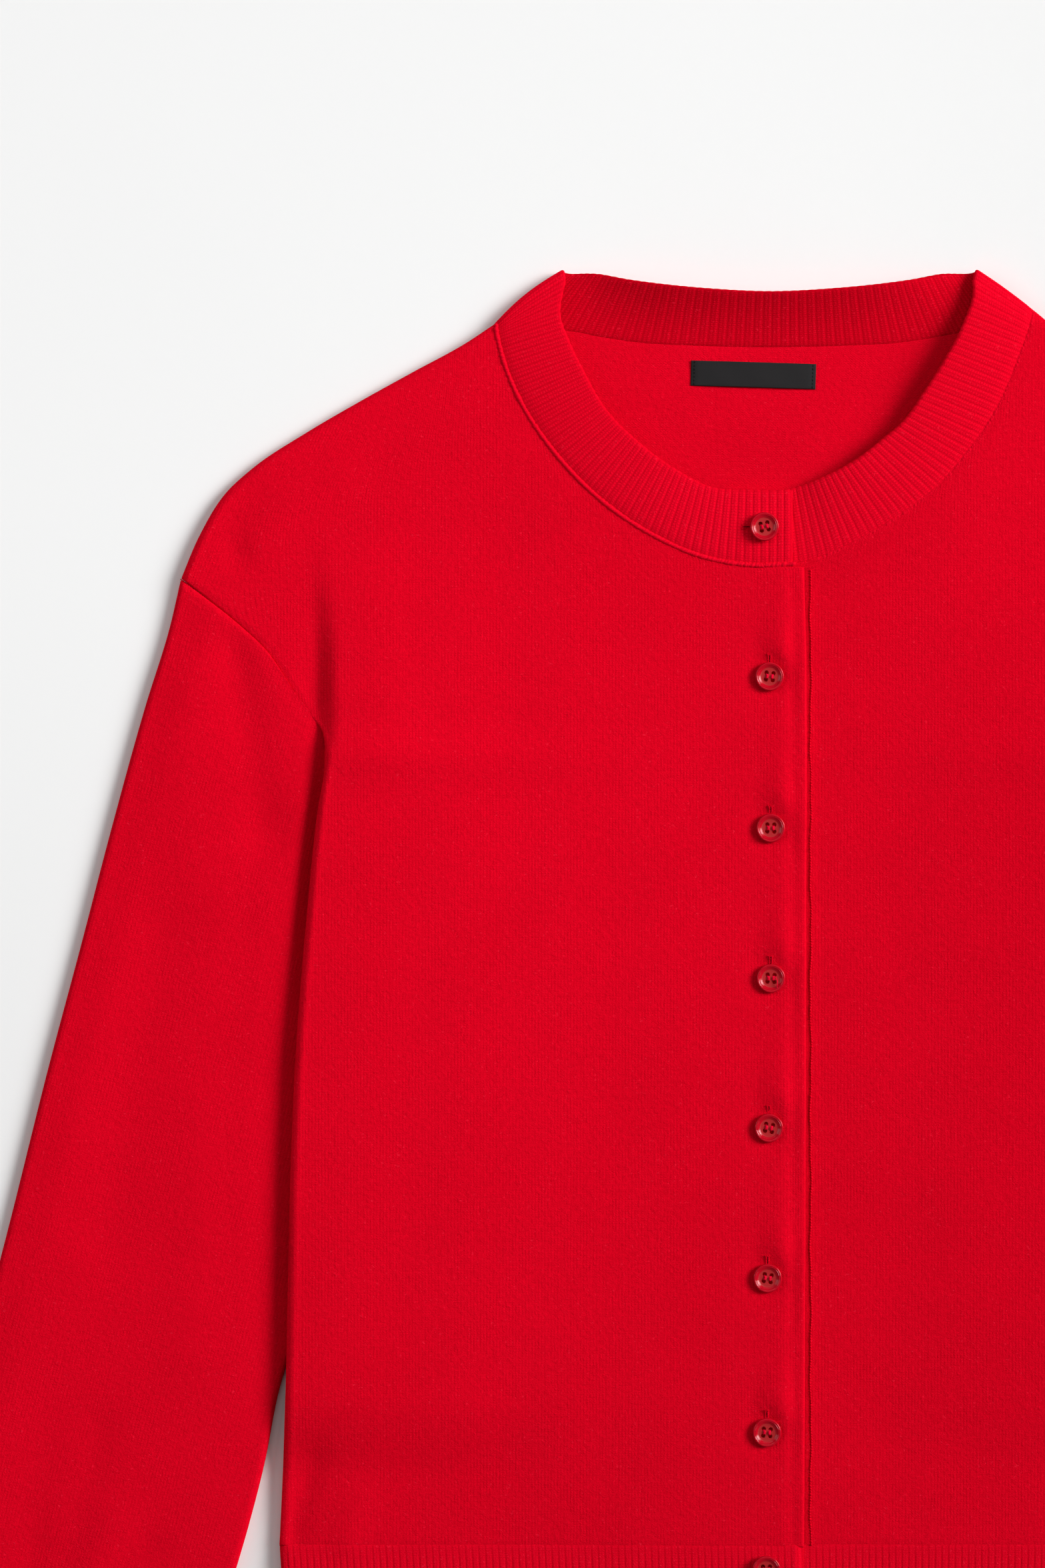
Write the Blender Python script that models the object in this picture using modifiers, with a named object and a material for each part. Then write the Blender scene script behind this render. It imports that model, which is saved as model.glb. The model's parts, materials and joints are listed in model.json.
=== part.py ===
"""A knitted button cardigan that lies on its back, front up, modelled in metres with +Z up.

Sizes below are in millimetres. `out` is measured from the centre line towards a side, `up` from the bottom
edge of the hem towards the neck, and every height from the surface that the cardigan lies on. Right and
left are the wearer's: the right side is at -X. The right front laps over the left one.
"""

import math

import bmesh
import bpy
import numpy as np
from mathutils import Matrix

MM = 0.001
RIGHT, LEFT = -1, 1
ORIGIN_UP = 255.6  # the middle of the cardigan's length, above the hem's bottom edge

# The knitted walls and the air between them.
WALL = 2.2  # plain jersey
RIB_WALL = 2.3  # the rib's plain depth
RIB_RISE = 0.9  # how far a rib stands out of it
RIB_PITCH = 3.0
BAND_PITCH = 3.2
SEAM_GAP = 0.3
NECK_GAP = {"front": 0.5, "back": 0.8}
ARMHOLE_GAP = 0.6
LAYER_GAP = 0.3
AIR = 1.6  # between the back and the fronts
SIDE_RIDGE = 1.5  # how much higher the fronts stand in from their sides, over the tucked sleeves

# The body's outline: out, up.
SIDE = ((220.8, 21.9), (219.4, 50.0), (217.6, 92.0), (216.4, 145.0), (215.0, 200.0), (212.6, 250.0),
        (208.6, 300.0), (203.6, 350.0), (199.8, 378.0), (201.4, 389.0), (208.5, 396.9))
ARMHOLE = ((208.5, 396.9), (218.1, 411.9), (226.2, 424.2), (239.7, 437.4), (254.4, 449.4), (265.0, 457.5))
SHOULDER = ((265.0, 457.5), (256.8, 476.7), (244.5, 496.5), (232.5, 507.4), (208.5, 523.2), (184.5, 537.2),
            (160.5, 550.5), (136.5, 563.7))
NECK_POINT = {RIGHT: (125.2, 571.6), LEFT: (120.3, 577.8)}
BACK_NECK_POINT = {RIGHT: (124.8, 567.5), LEFT: (120.3, 573.0)}  # clear of the band's fold
HEM_TOP = 21.9
HEM_IN = 1.5  # the rib draws the hem in by this much at its bottom edge

# The centre fronts. The right front's edge lies past the centre line, the left one runs under it.
FRONT_EDGE = {RIGHT: ((-15.3, HEM_TOP), (-15.9, 150.0), (-16.2, 300.0), (-17.0, 430.0), (-15.3, 462.6)),
              LEFT: ((-18.0, HEM_TOP), (-18.0, 150.0), (-18.0, 300.0), (-18.0, 430.0), (-18.0, 462.4))}
PLACKET_AIR = {RIGHT: 4.1, LEFT: 0.6}
PLACKET_FLAT, PLACKET_EASE = 22.0, 50.0  # from the centre line: the overlap lies level, then eases out

# The neckband: its free edge and its seam, rib by rib from the centre front to the shoulder's fold.
# free_out, free_up, free_height, seam_out, seam_up, seam_height: heights of the band's inner face.
BAND = {
    RIGHT: ((-10.2, 498.1, 6.9, -10.2, 463.2, 6.7), (8.0, 497.5, 6.9, 8.0, 462.8, 6.6),
            (25.2, 499.0, 7.4, 28.0, 465.8, 6.2), (42.3, 506.2, 8.2, 55.0, 477.5, 5.8),
            (61.8, 517.0, 8.4, 80.0, 495.5, 5.4), (78.3, 535.2, 8.2, 101.0, 519.2, 5.0),
            (87.2, 551.6, 7.9, 114.9, 541.2, 4.7), (92.6, 568.2, 7.2, 121.0, 557.5, 4.4),
            (94.6, 582.0, 5.7, 122.4, 564.5, 4.1), (89.4, 594.5, 3.7, 122.4, 569.2, 3.7)),
    LEFT: ((-18.0, 497.6, 3.0, -18.0, 462.9, 3.0), (4.0, 497.4, 3.0, 4.0, 462.7, 3.0),
           (10.5, 498.6, 3.2, 13.0, 463.4, 3.2), (22.8, 505.0, 6.0, 36.0, 471.3, 4.0),
           (39.6, 516.6, 8.0, 60.0, 486.2, 4.6), (54.6, 528.3, 8.4, 78.0, 502.0, 4.8),
           (66.0, 539.7, 8.4, 91.5, 516.3, 4.8), (77.7, 554.7, 8.0, 104.5, 535.5, 4.6),
           (86.1, 571.5, 7.0, 113.5, 556.0, 4.3), (90.6, 586.5, 5.4, 117.0, 570.0, 4.0),
           (89.4, 594.5, 3.7, 117.5, 575.2, 3.7)),
}
BAND_BACK = ((86.0, 595.8, 3.3, 108.0, 569.6, 2.9), (76.5, 594.3, 4.8, 91.5, 569.1, 2.5),
             (64.5, 592.0, 7.2, 76.0, 566.2, 2.4), (52.5, 590.1, 9.2, 60.0, 563.8, 2.4),
             (30.0, 587.7, 11.0, 33.0, 562.3, 2.4), (0.0, 586.2, 11.5, 0.0, 561.6, 2.4))
BAND_FOLD_RADIUS = 0.3  # inside the fold at each shoulder
BAND_FOLD_STEPS = 6

# The sleeves: they hang beside the body and turn a little outwards. Lengths run along the outer edge.
SLEEVE_SLOPE = math.radians(14.9)
SLEEVE_LENGTH = 480.0
CUFF_LENGTH = 54.2
CUFF_WIDTH = 92.0
SLEEVE_HEIGHT = 6.3
SLEEVE_FOLD_RADIUS = 3.0
SLEEVE_OUTER = ((265.5, 456.6), (270.3, 435.9), (281.4, 399.9), (296.4, 345.9), (310.5, 291.9),
                (324.9, 237.9), (342.9, 165.9), (361.8, 93.9))
SLEEVE_INNER = ((208.8, 396.3), (202.6, 388.0), (201.2, 378.0), (202.0, 366.0), (200.0, 352.0),
                (193.0, 325.0), (186.0, 285.0), (183.5, 245.0), (188.0, 205.0), (197.0, 168.0),
                (209.0, 128.0), (220.5, 93.9), (227.8, 57.9), (237.3, 21.9))
# Near the cuff the sleeve's end is gathered in: along, inset of the outer edge, width.
SLEEVE_END = ((440.0, 0.0, 138.0), (462.0, 3.0, 134.0), (SLEEVE_LENGTH, 14.0, CUFF_WIDTH))

# The inner edge of each sleeve is tucked under the body's side, which rides over it.
TUCK_RISE = 5.7
TUCK_HEIGHT = 5.2  # the sleeve's own height there
TUCK_BOTTOM, TUCK_TOP = (52.0, 90.0), (395.0, 372.0)  # up: where the side starts to rise, and is up
TUCK_RAMP = (42.0, 9.0)  # in from the sleeve's edge: where the back leaves the floor, and is up

# The sewn-in label and the buttons.
LABEL_SIZE = (56.4, 11.4, 1.0)
LABEL_PLACE = (-7.2, 549.5)
LABEL_TURN = math.radians(-1.7)
BUTTON_RADIUS = 6.5
# From the top's middle outwards, over the rim and back to the middle of the underside: radius, height.
BUTTON_PROFILE = ((0.0, 1.9), (4.5, 2.0), (5.5, 3.0), (BUTTON_RADIUS, 2.4), (5.6, 0.2), (0.0, 0.0))
BUTTON_SIDES = 12
BUTTON_HOLE_RADIUS, BUTTON_HOLE_OUT, BUTTON_HOLE_SIDES = 0.85, 1.9, 5
# x, up, and the turn of the holes in degrees, from the neck down to the hem.
BUTTONS = ((-2.7, 480.6, 38.0), (-0.3, 413.4, 47.0), (0.2, 345.3, 40.0), (0.3, 277.8, 50.0),
           (-0.6, 210.6, 43.0), (-1.2, 143.1, 52.0), (-1.5, 73.8, 36.0), (-1.8, 12.3, 46.0))

# Finishes: base colour, roughness, metallic.
FINISHES = {
    "jersey": ((0.70, 0.001, 0.014), 0.95, 0.0),
    "rib": ((0.68, 0.001, 0.015), 0.95, 0.0),
    "label": ((0.008, 0.008, 0.009), 0.8, 0.0),
    "button": ((0.26, 0.004, 0.012), 0.25, 0.0),
}


def ease(start, end, value):
    """A smooth step from 0 at `start` to 1 at `end`; the start may be the larger of the two."""
    share = np.clip((value - start) / (end - start), 0.0, 1.0)
    return share * share * (3 - 2 * share)


def curve(points):
    """A smooth curve through rows of numbers, as a function of the share of its length."""
    points = np.array(points, float)
    steps = np.linalg.norm(np.diff(points, axis=0), axis=1)
    at = np.concatenate(([0.0], np.cumsum(steps))) / steps.sum()
    slopes = np.gradient(points, at, axis=0)

    def read(share):
        share = np.clip(np.asarray(share, float), 0.0, 1.0)
        row = np.clip(np.searchsorted(at, share, side="right") - 1, 0, len(steps) - 1)
        span = (at[row + 1] - at[row])[..., None]
        t = (share - at[row])[..., None] / span
        return ((1 + 2 * t) * (1 - t) ** 2 * points[row] + t * (1 - t) ** 2 * span * slopes[row]
                + t * t * (3 - 2 * t) * points[row + 1] - t * t * (1 - t) * span * slopes[row + 1])

    return read


def joined(first, second, corner):
    """Two curves read as one: the first up to the share `corner`, then the second."""
    def read(share):
        share = np.asarray(share, float)[..., None]
        before = first(np.clip(share[..., 0] / corner, 0, 1))
        after = second(np.clip((share[..., 0] - corner) / (1 - corner), 0, 1))
        return np.where(share <= corner, before, after)

    return read


def patch(u, v, low, high, left, right):
    """Plan points inside four border curves: u runs from left to right, v from low to high."""
    u, v = np.broadcast_arrays(u, v)
    across, along = u[..., None], v[..., None]
    sides = (1 - across) * left(v) + across * right(v)
    ends = (1 - along) * low(u) + along * high(u)
    corners = ((1 - across) * (1 - along) * low(0.0) + across * (1 - along) * low(1.0)
               + (1 - across) * along * high(0.0) + across * along * high(1.0))
    return sides + ends - corners


def nearest(rows, plan):
    """The distance from each plan point to a row of points, and which of them is nearest."""
    away = np.linalg.norm(plan[..., None, :] - rows[:, :2], axis=-1)
    return away.min(axis=-1), away.argmin(axis=-1)


def material(name, finish):
    colour, roughness, metallic = FINISHES[finish]
    made = bpy.data.materials.new(name)
    made.use_nodes = True
    shader = made.node_tree.nodes["Principled BSDF"]
    shader.inputs["Base Color"].default_value = (*colour, 1.0)
    shader.inputs["Roughness"].default_value = roughness
    shader.inputs["Metallic"].default_value = metallic
    return made


def new_part(name, mesh, finish, parts):
    part = bpy.data.objects.new(name, mesh)
    part.data.materials.clear()
    part.data.materials.append(material(name, finish))
    parts.objects.link(part)
    return part


def world(side, plan, height):
    """Points in metres from plan points (out, up) on one side and their heights."""
    height = np.broadcast_to(height, plan.shape[:-1])
    return np.stack((side * plan[..., 0], plan[..., 1] - ORIGIN_UP, height), axis=-1) * MM


def panel(name, points, finish, parts):
    """A cloth panel: an open grid bent to its underside, thickened upwards."""
    rows, columns = points.shape[:2]
    sheet = bmesh.new()
    bmesh.ops.create_grid(sheet, x_segments=columns - 1, y_segments=rows - 1, size=1.0)
    for vertex, place in zip(sheet.verts, points.reshape(-1, 3)):
        vertex.co = place
    sheet.normal_update()
    if sum(face.normal.z for face in sheet.faces) < 0:
        bmesh.ops.reverse_faces(sheet, faces=sheet.faces[:])
    mesh = bpy.data.meshes.new(name)
    sheet.to_mesh(mesh)
    sheet.free()
    part = new_part(name, mesh, finish, parts)
    thick = part.modifiers.new("wall", "SOLIDIFY")
    thick.thickness = WALL * MM
    thick.offset = 1.0
    return part


def loft(name, inner, outer, ring, finish, parts):
    """A wall between two matching lattices of points; `ring` joins the last column to the first."""
    rows, columns = inner.shape[:2]
    count = rows * columns
    spans = columns if ring else columns - 1
    wall = bmesh.new()
    vertices = [wall.verts.new(place) for place in np.concatenate((inner, outer)).reshape(-1, 3)]

    def quad(*corners):
        wall.faces.new([vertices[corner] for corner in corners])

    for row in range(rows - 1):
        for column in range(spans):
            a, b = row * columns + column, row * columns + (column + 1) % columns
            c, d = b + columns, a + columns
            quad(a, b, c, d)
            quad(a + count, d + count, c + count, b + count)
    for row in (0, rows - 1):
        for column in range(spans):
            a, b = row * columns + column, row * columns + (column + 1) % columns
            quad(a, a + count, b + count, b)
    if not ring:
        for row in range(rows - 1):
            for column in (0, columns - 1):
                a = row * columns + column
                quad(a, a + columns, a + columns + count, a + count)
    bmesh.ops.recalc_face_normals(wall, faces=wall.faces[:])
    mesh = bpy.data.meshes.new(name)
    wall.to_mesh(mesh)
    wall.free()
    return new_part(name, mesh, finish, parts)


def seam_of_band(side, offset=0.0):
    """The neck seam on one side, moved away from the band by `offset`: out, up, height of its inner face."""
    rows = np.array(BAND[side])
    away = rows[:, 3:5] - rows[:, 0:2]
    away /= np.linalg.norm(away, axis=1)[:, None]
    return np.column_stack((rows[:, 3:5] + offset * away, rows[:, 5]))


def tuck(plan):
    """How far the body's side rides up over the sleeve's tucked edge, at each plan point."""
    out, up = np.abs(plan[..., 0]), plan[..., 1]
    edge = np.array(SLEEVE_INNER)[::-1]
    sleeve = np.interp(up, edge[:, 1], edge[:, 0])
    inwards = ease(sleeve - TUCK_RAMP[0], sleeve - TUCK_RAMP[1], out)
    return TUCK_RISE * inwards * ease(*TUCK_BOTTOM, up) * ease(*TUCK_TOP, up)


def front_underside(side, plan):
    """The underside of a front: over the back and the air between, higher at the neck and the overlap."""
    samples = np.linspace(0, 1, 40)
    border = np.concatenate((curve(SIDE[:-2])(samples), curve(shoulder(side))(samples)))
    neck = curve(seam_of_band(side))(samples)
    from_edge, _ = nearest(border, plan)
    from_neck, place = nearest(neck, plan)
    air = AIR * ease(0, 14, from_edge)
    up = plan[..., 1]
    ridge = ease(0, 18, from_edge) * ease(80, 35, from_edge) * ease(40, 90, up) * ease(420, 380, up)
    air = air + SIDE_RIDGE * ridge
    level = ease(PLACKET_EASE, PLACKET_FLAT, plan[..., 0])
    air = air + (PLACKET_AIR[side] - air) * level
    at_neck = neck[place, 2] - WALL - LAYER_GAP
    air = air + (at_neck - air) * ease(55, 0, from_neck)
    return tuck(plan) + WALL + LAYER_GAP + air


def shoulder(side):
    return (*SHOULDER, NECK_POINT[side])


def crowded(count):
    """Shares from 0 to 1 that crowd towards both ends."""
    return (1 - np.cos(np.linspace(0, math.pi, count + 1))) / 2


def front(name, side, parts):
    corner = 0.55
    columns = np.linspace(0, 1, 13) ** 1.4
    rows = np.concatenate((crowded(14) * corner, corner + np.linspace(0, 1, 15)[1:] * (1 - corner)))
    neck = [FRONT_EDGE[side][-1], *seam_of_band(side, NECK_GAP["front"])[1:-1, :2], NECK_POINT[side]]
    outer_border = joined(curve(SIDE), curve(ARMHOLE), corner)
    inner_border = joined(curve(FRONT_EDGE[side]), curve(neck), corner)
    hem = curve((SIDE[0], FRONT_EDGE[side][0]))
    u, v = np.meshgrid(columns, rows)
    plan = patch(u, v, hem, curve(shoulder(side)), outer_border, inner_border)
    return panel(name, world(side, plan, front_underside(side, plan)), "jersey", parts)


def back(parts):
    corner = 0.8
    shoulder_share = 0.25
    columns = shoulder_share * np.linspace(0, 1, 6) ** 1.3
    middle = shoulder_share + (1 - 2 * shoulder_share) * crowded(12)[1:-1]
    rows = np.concatenate((crowded(14) * corner, np.linspace(corner, 1, 8)[1:]))
    u, v = np.meshgrid(np.concatenate((columns, middle, 1 - columns[::-1])), rows)
    mirror = np.array((-1.0, 1.0))
    border = joined(curve(SIDE), curve(ARMHOLE), corner)
    seam = np.array([(row[3], row[4] - NECK_GAP["back"]) for row in BAND_BACK])
    neck = np.concatenate(([BACK_NECK_POINT[RIGHT]], seam, seam[-2::-1] * mirror, [BACK_NECK_POINT[LEFT] * mirror]))
    right_shoulder = curve((*SHOULDER, BACK_NECK_POINT[RIGHT]))
    left_shoulder = curve((BACK_NECK_POINT[LEFT] * mirror, *(np.array(SHOULDER)[::-1] * mirror)))
    high = joined(right_shoulder, curve(neck), shoulder_share / (1 - shoulder_share))
    high = joined(high, left_shoulder, 1 - shoulder_share)
    hem = curve((SIDE[0], np.array(SIDE[0]) * mirror))
    plan = patch(u, v, hem, high, border, lambda share: border(share) * mirror)
    return panel("back", world(RIGHT, plan, tuck(plan)), "jersey", parts)


def hem_rib(name, side, parts):
    """The ribbed hem of one front: its underside is plain and its ribs stand up."""
    edge_out, edge_in = SIDE[0][0], FRONT_EDGE[side][0][0]
    ribs = round((edge_out - edge_in) / RIB_PITCH)
    across = np.linspace(0, 1, 2 * ribs + 1)
    rows = []
    for up, drawn_in in ((HEM_TOP - SEAM_GAP, 0.0), (0.0, HEM_IN)):
        out = (1 - across) * (edge_out - drawn_in) + across * edge_in
        rows.append(np.column_stack((out, np.full_like(out, up))))
    plan = np.array(rows)
    under = front_underside(side, plan)
    raised = RIB_RISE * (np.arange(2 * ribs + 1) % 2)
    return loft(name, world(side, plan, under), world(side, plan, under + RIB_WALL + raised), False, "rib", parts)


def hem_rib_back(parts):
    out = SIDE[0][0]
    plan = np.array((((-out, HEM_TOP - SEAM_GAP), (out, HEM_TOP - SEAM_GAP)), ((HEM_IN - out, 0.0), (out - HEM_IN, 0.0))))
    return loft("hem_rib_back", world(RIGHT, plan, 0.0), world(RIGHT, plan, WALL), False, "rib", parts)


def sleeve_axes():
    """Plan directions along a sleeve, and across it towards the body."""
    along = np.array((math.sin(SLEEVE_SLOPE), -math.cos(SLEEVE_SLOPE)))
    return along, np.array((-math.cos(SLEEVE_SLOPE), -math.sin(SLEEVE_SLOPE)))


def sleeve_plan():
    """The sleeve's plan as a function of the share across, from its outer edge, and the share along."""
    along, across = sleeve_axes()
    tip = np.array(SLEEVE_OUTER[0])
    outer, inner = [np.array(row) for row in SLEEVE_OUTER], [np.array(row) for row in SLEEVE_INNER]
    for length, inset, width in SLEEVE_END:
        outer.append(tip + along * length + across * inset)
        inner.append(outer[-1] + across * width)
    outer, inner = curve(outer), curve(inner)
    armhole = curve([np.array(row) + ARMHOLE_GAP * np.array((0.73, -0.68)) for row in ARMHOLE[::-1]])
    armhole_start, armhole_end = armhole(0.0), armhole(1.0)

    def start(share):
        """The armhole's curve, moved to start and end on the sleeve's own edges."""
        share_along = np.asarray(share, float)[..., None]
        shift = (1 - share_along) * (outer(0.0) - armhole_start) + share_along * (inner(0.0) - armhole_end)
        return armhole(share) + shift

    end = curve((outer(1.0), inner(1.0)))
    return lambda u, v: patch(u, v, start, end, outer, inner)


def tube(plan_of, shares_along, top_of, wall, rise, across):
    """A flattened tube, laid on the floor: the inner and outer points of its wall, ring by ring.

    `plan_of` gives plan points from the shares across and along, `top_of` the height of the upper face,
    and `rise` lifts each upper point where there are ribs.
    """
    inner_rings, outer_rings = [], []
    for along in shares_along:
        edges = plan_of(np.array((0.0, 1.0)), np.array((along, along)))
        width = np.linalg.norm(edges[1] - edges[0])
        rings = []
        for inset, lifted in ((wall, 0.0), (0.0, rise)):
            share = (inset + across * (width - 2 * inset)) / width
            from_edge = np.minimum(across, 1 - across) * (width - 2 * inset)
            radius = SLEEVE_FOLD_RADIUS - inset * 0.75
            flat = np.sqrt(1 - (1 - np.minimum(from_edge / radius, 1)) ** 2)
            plan = plan_of(share, np.full_like(share, along))
            top = top_of(plan)
            middle = top / 2
            upper = middle + (middle - inset) * flat + lifted * flat
            lower = middle - (middle - inset) * flat
            upper_points = np.column_stack((plan, upper))
            lower_points = np.column_stack((plan, lower))[-2:0:-1]
            rings.append(np.concatenate((upper_points, lower_points)))
        inner_rings.append(rings[0])
        outer_rings.append(rings[1])
    return np.array(inner_rings), np.array(outer_rings)


def sleeve_top(plan):
    """The height of the sleeve's upper face, which dips where the body's side lies over it."""
    out, up = plan[..., 0], plan[..., 1]
    side = np.array(SIDE[:-2])
    body = np.interp(up, side[:, 1], side[:, 0])
    under_body = ease(body + 22, body + 4, out) * ease(400, 388, up) * ease(60, 85, up)
    return SLEEVE_HEIGHT + (TUCK_HEIGHT - SLEEVE_HEIGHT) * under_body


def sleeve(name, side, parts):
    near_edge = np.array((0.0, 0.008, 0.028, 0.09))
    across = np.concatenate((near_edge, np.linspace(0.2, 0.8, 5), 1 - near_edge[::-1]))
    along = np.linspace(0, 1, 15) ** 1.25
    inner, outer = tube(sleeve_plan(), along, sleeve_top, WALL, 0.0, across)
    return loft(name, world(side, inner[..., :2], inner[..., 2]), world(side, outer[..., :2], outer[..., 2]),
                True, "jersey", parts)


def cuff(name, side, parts):
    along, across = sleeve_axes()
    start = np.array(SLEEVE_OUTER[0]) + along * (SLEEVE_LENGTH + SEAM_GAP) + across * SLEEVE_END[-1][1]

    def plan_of(u, v):
        return start + u[..., None] * CUFF_WIDTH * across + v[..., None] * (CUFF_LENGTH - SEAM_GAP) * along

    ribs = round(CUFF_WIDTH / RIB_PITCH)
    shares = np.linspace(0, 1, 2 * ribs + 1)
    raised = RIB_RISE * (np.arange(2 * ribs + 1) % 2)
    inner, outer = tube(plan_of, (0.0, 1.0), lambda plan: np.full(plan.shape[:-1], SLEEVE_HEIGHT - 0.9),
                        RIB_WALL, raised, shares)
    return loft(name, world(side, inner[..., :2], inner[..., 2]), world(side, outer[..., :2], outer[..., 2]),
                True, "rib", parts)


def band_side(side):
    """Stations of a front half of the neckband, from the centre front to the shoulder's fold."""
    rows = np.array(BAND[side])
    length = np.linalg.norm(np.diff(rows[:, :2], axis=0), axis=1).sum()
    stations = curve(rows)(np.linspace(0, 1, 2 * round(length / BAND_PITCH) + 1))
    stations[:, (0, 3)] *= side
    return stations


def band_back():
    """Stations of the neckband's back, from the right shoulder's fold to the left one's."""
    fold = {side: np.array(BAND[side][-1]) for side in (RIGHT, LEFT)}
    for row in fold.values():
        row[[2, 5]] -= 2 * BAND_FOLD_RADIUS
    rows = np.array([fold[RIGHT], *BAND_BACK])
    rows[:, (0, 3)] *= RIGHT
    other = np.array([fold[LEFT], *BAND_BACK[:-1]])[::-1]
    rows = np.concatenate((rows, other))
    length = np.linalg.norm(np.diff(rows[:, :2], axis=0), axis=1).sum()
    return curve(rows)(np.linspace(0, 1, 2 * round(length / BAND_PITCH) + 1))


def band_fold(station, side):
    """Stations around a shoulder's fold, from the front's last one to the back's first, with their facing."""
    line = station[0:2] - station[3:5]
    outward = np.array((-line[1], line[0])) / np.linalg.norm(line)
    outward *= np.sign(outward[1])
    stations, facing = [], []
    for angle in np.linspace(0, math.pi, BAND_FOLD_STEPS + 1)[1:-1]:
        place = station.copy()
        for column in (0, 3):
            place[column:column + 2] += BAND_FOLD_RADIUS * math.sin(angle) * outward
            place[column + 2] += BAND_FOLD_RADIUS * (math.cos(angle) - 1)
        stations.append(place)
        facing.append((*(math.sin(angle) * outward), math.cos(angle)))
    return np.array(stations), np.array(facing)


def neckband(parts):
    """One ribbed strip from the right front's edge round the neck to under the left front's edge."""
    right, middle, left = band_side(RIGHT), band_back(), band_side(LEFT)[::-1]
    fold_right, facing_right = band_fold(right[-1], RIGHT)
    fold_left, facing_left = band_fold(left[0], LEFT)
    up, down = np.array((0.0, 0.0, 1.0)), np.array((0.0, 0.0, -1.0))
    stations = np.concatenate((right, fold_right, middle, fold_left[::-1], left))
    facing = np.concatenate((np.tile(up, (len(right), 1)), facing_right, np.tile(down, (len(middle), 1)),
                             facing_left[::-1], np.tile(up, (len(left), 1))))
    odd = (np.arange(len(stations)) % 2)[:, None]
    outer_rise = RIB_RISE * odd * np.clip(facing[:, 2:3], 0, 1)
    # The back's ribs show on its inner face, away from where the front halves cover it.
    shown = ease(88, 78, np.abs(stations[:, 0:1])) * (facing[:, 2:3] < -0.99)
    inner_rise = RIB_RISE * odd * shown
    free, seam = stations[:, 0:3], stations[:, 3:6]
    inner = np.stack((free - facing * inner_rise, seam - facing * inner_rise))
    outer = np.stack((free + facing * (RIB_WALL + outer_rise), seam + facing * (RIB_WALL + outer_rise)))
    return loft("neckband", world(LEFT, inner[..., :2], inner[..., 2]), world(LEFT, outer[..., :2], outer[..., 2]),
                False, "rib", parts)


def neck_label(parts):
    sheet = bmesh.new()
    bmesh.ops.create_cube(sheet, size=1.0)
    bmesh.ops.scale(sheet, vec=[size * MM for size in LABEL_SIZE], verts=sheet.verts)
    mesh = bpy.data.meshes.new("neck_label")
    sheet.to_mesh(mesh)
    sheet.free()
    label = new_part("neck_label", mesh, "label", parts)
    height = WALL + LAYER_GAP + LABEL_SIZE[2] / 2
    label.location = (LABEL_PLACE[0] * MM, (LABEL_PLACE[1] - ORIGIN_UP) * MM, height * MM)
    label.rotation_euler.z = LABEL_TURN
    return label


def button_mesh(cutters):
    """A turned button with a raised rim and four holes."""
    profile = bmesh.new()
    points = [profile.verts.new((radius * MM, 0.0, height * MM)) for radius, height in BUTTON_PROFILE]
    for first, second in zip(points, points[1:]):
        profile.edges.new((first, second))
    mesh = bpy.data.meshes.new("button profile")
    profile.to_mesh(mesh)
    profile.free()
    blank = bpy.data.objects.new("button blank", mesh)
    cutters.objects.link(blank)
    turned = blank.modifiers.new("turned", "SCREW")
    turned.steps = turned.render_steps = BUTTON_SIDES
    turned.use_merge_vertices = True
    turned.merge_threshold = 0.00005

    holes = bmesh.new()
    for quarter in range(4):
        angle = quarter * math.pi / 2
        place = Matrix.Translation((BUTTON_HOLE_OUT * MM * math.cos(angle), BUTTON_HOLE_OUT * MM * math.sin(angle), 0))
        bmesh.ops.create_cone(holes, cap_ends=True, segments=BUTTON_HOLE_SIDES, radius1=BUTTON_HOLE_RADIUS * MM,
                              radius2=BUTTON_HOLE_RADIUS * MM, depth=12 * MM, matrix=place)
    hole_mesh = bpy.data.meshes.new("button holes")
    holes.to_mesh(hole_mesh)
    holes.free()
    cutter = bpy.data.objects.new("button holes", hole_mesh)
    cutters.objects.link(cutter)
    for guide in (blank, cutter):
        guide.hide_render = True
        guide.display_type = "WIRE"
    cut = blank.modifiers.new("holes", "BOOLEAN")
    cut.operation = "DIFFERENCE"
    cut.object = cutter
    cut.solver = "EXACT"
    bpy.context.view_layer.update()
    return bpy.data.meshes.new_from_object(blank.evaluated_get(bpy.context.evaluated_depsgraph_get()))


def button_height(up):
    """The height of the ground under a button: the placket's jersey, the neckband or the hem rib."""
    jersey = WALL + LAYER_GAP + PLACKET_AIR[RIGHT] + WALL
    if up > FRONT_EDGE[RIGHT][-1][1]:
        return BAND[RIGHT][0][2] + RIB_WALL + RIB_RISE
    if up < HEM_TOP:
        return jersey - WALL + RIB_WALL + RIB_RISE
    return jersey


def buttons(parts, cutters):
    shape = button_mesh(cutters)
    for number, (x, up, turn) in enumerate(BUTTONS, start=1):
        name = f"button_{number}"
        mesh = shape.copy()
        mesh.shade_smooth()
        mesh.set_sharp_from_angle(angle=math.radians(40))
        made = new_part(name, mesh, "button", parts)
        made.location = (x * MM, (up - ORIGIN_UP) * MM, (button_height(up) + LAYER_GAP) * MM)
        made.rotation_euler.z = math.radians(turn)


def main():
    for thing in list(bpy.data.objects):
        bpy.data.objects.remove(thing, do_unlink=True)
    parts = bpy.data.collections.new("button cardigan")
    cutters = bpy.data.collections.new("cutters")
    for collection in (parts, cutters):
        bpy.context.scene.collection.children.link(collection)
    back(parts)
    hem_rib_back(parts)
    for side, word in ((RIGHT, "right"), (LEFT, "left")):
        front(f"front_{word}", side, parts)
        hem_rib(f"hem_rib_front_{word}", side, parts)
        sleeve(f"sleeve_{word}", side, parts)
        cuff(f"cuff_{word}", side, parts)
    neckband(parts)
    neck_label(parts)
    buttons(parts, cutters)


main()
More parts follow.
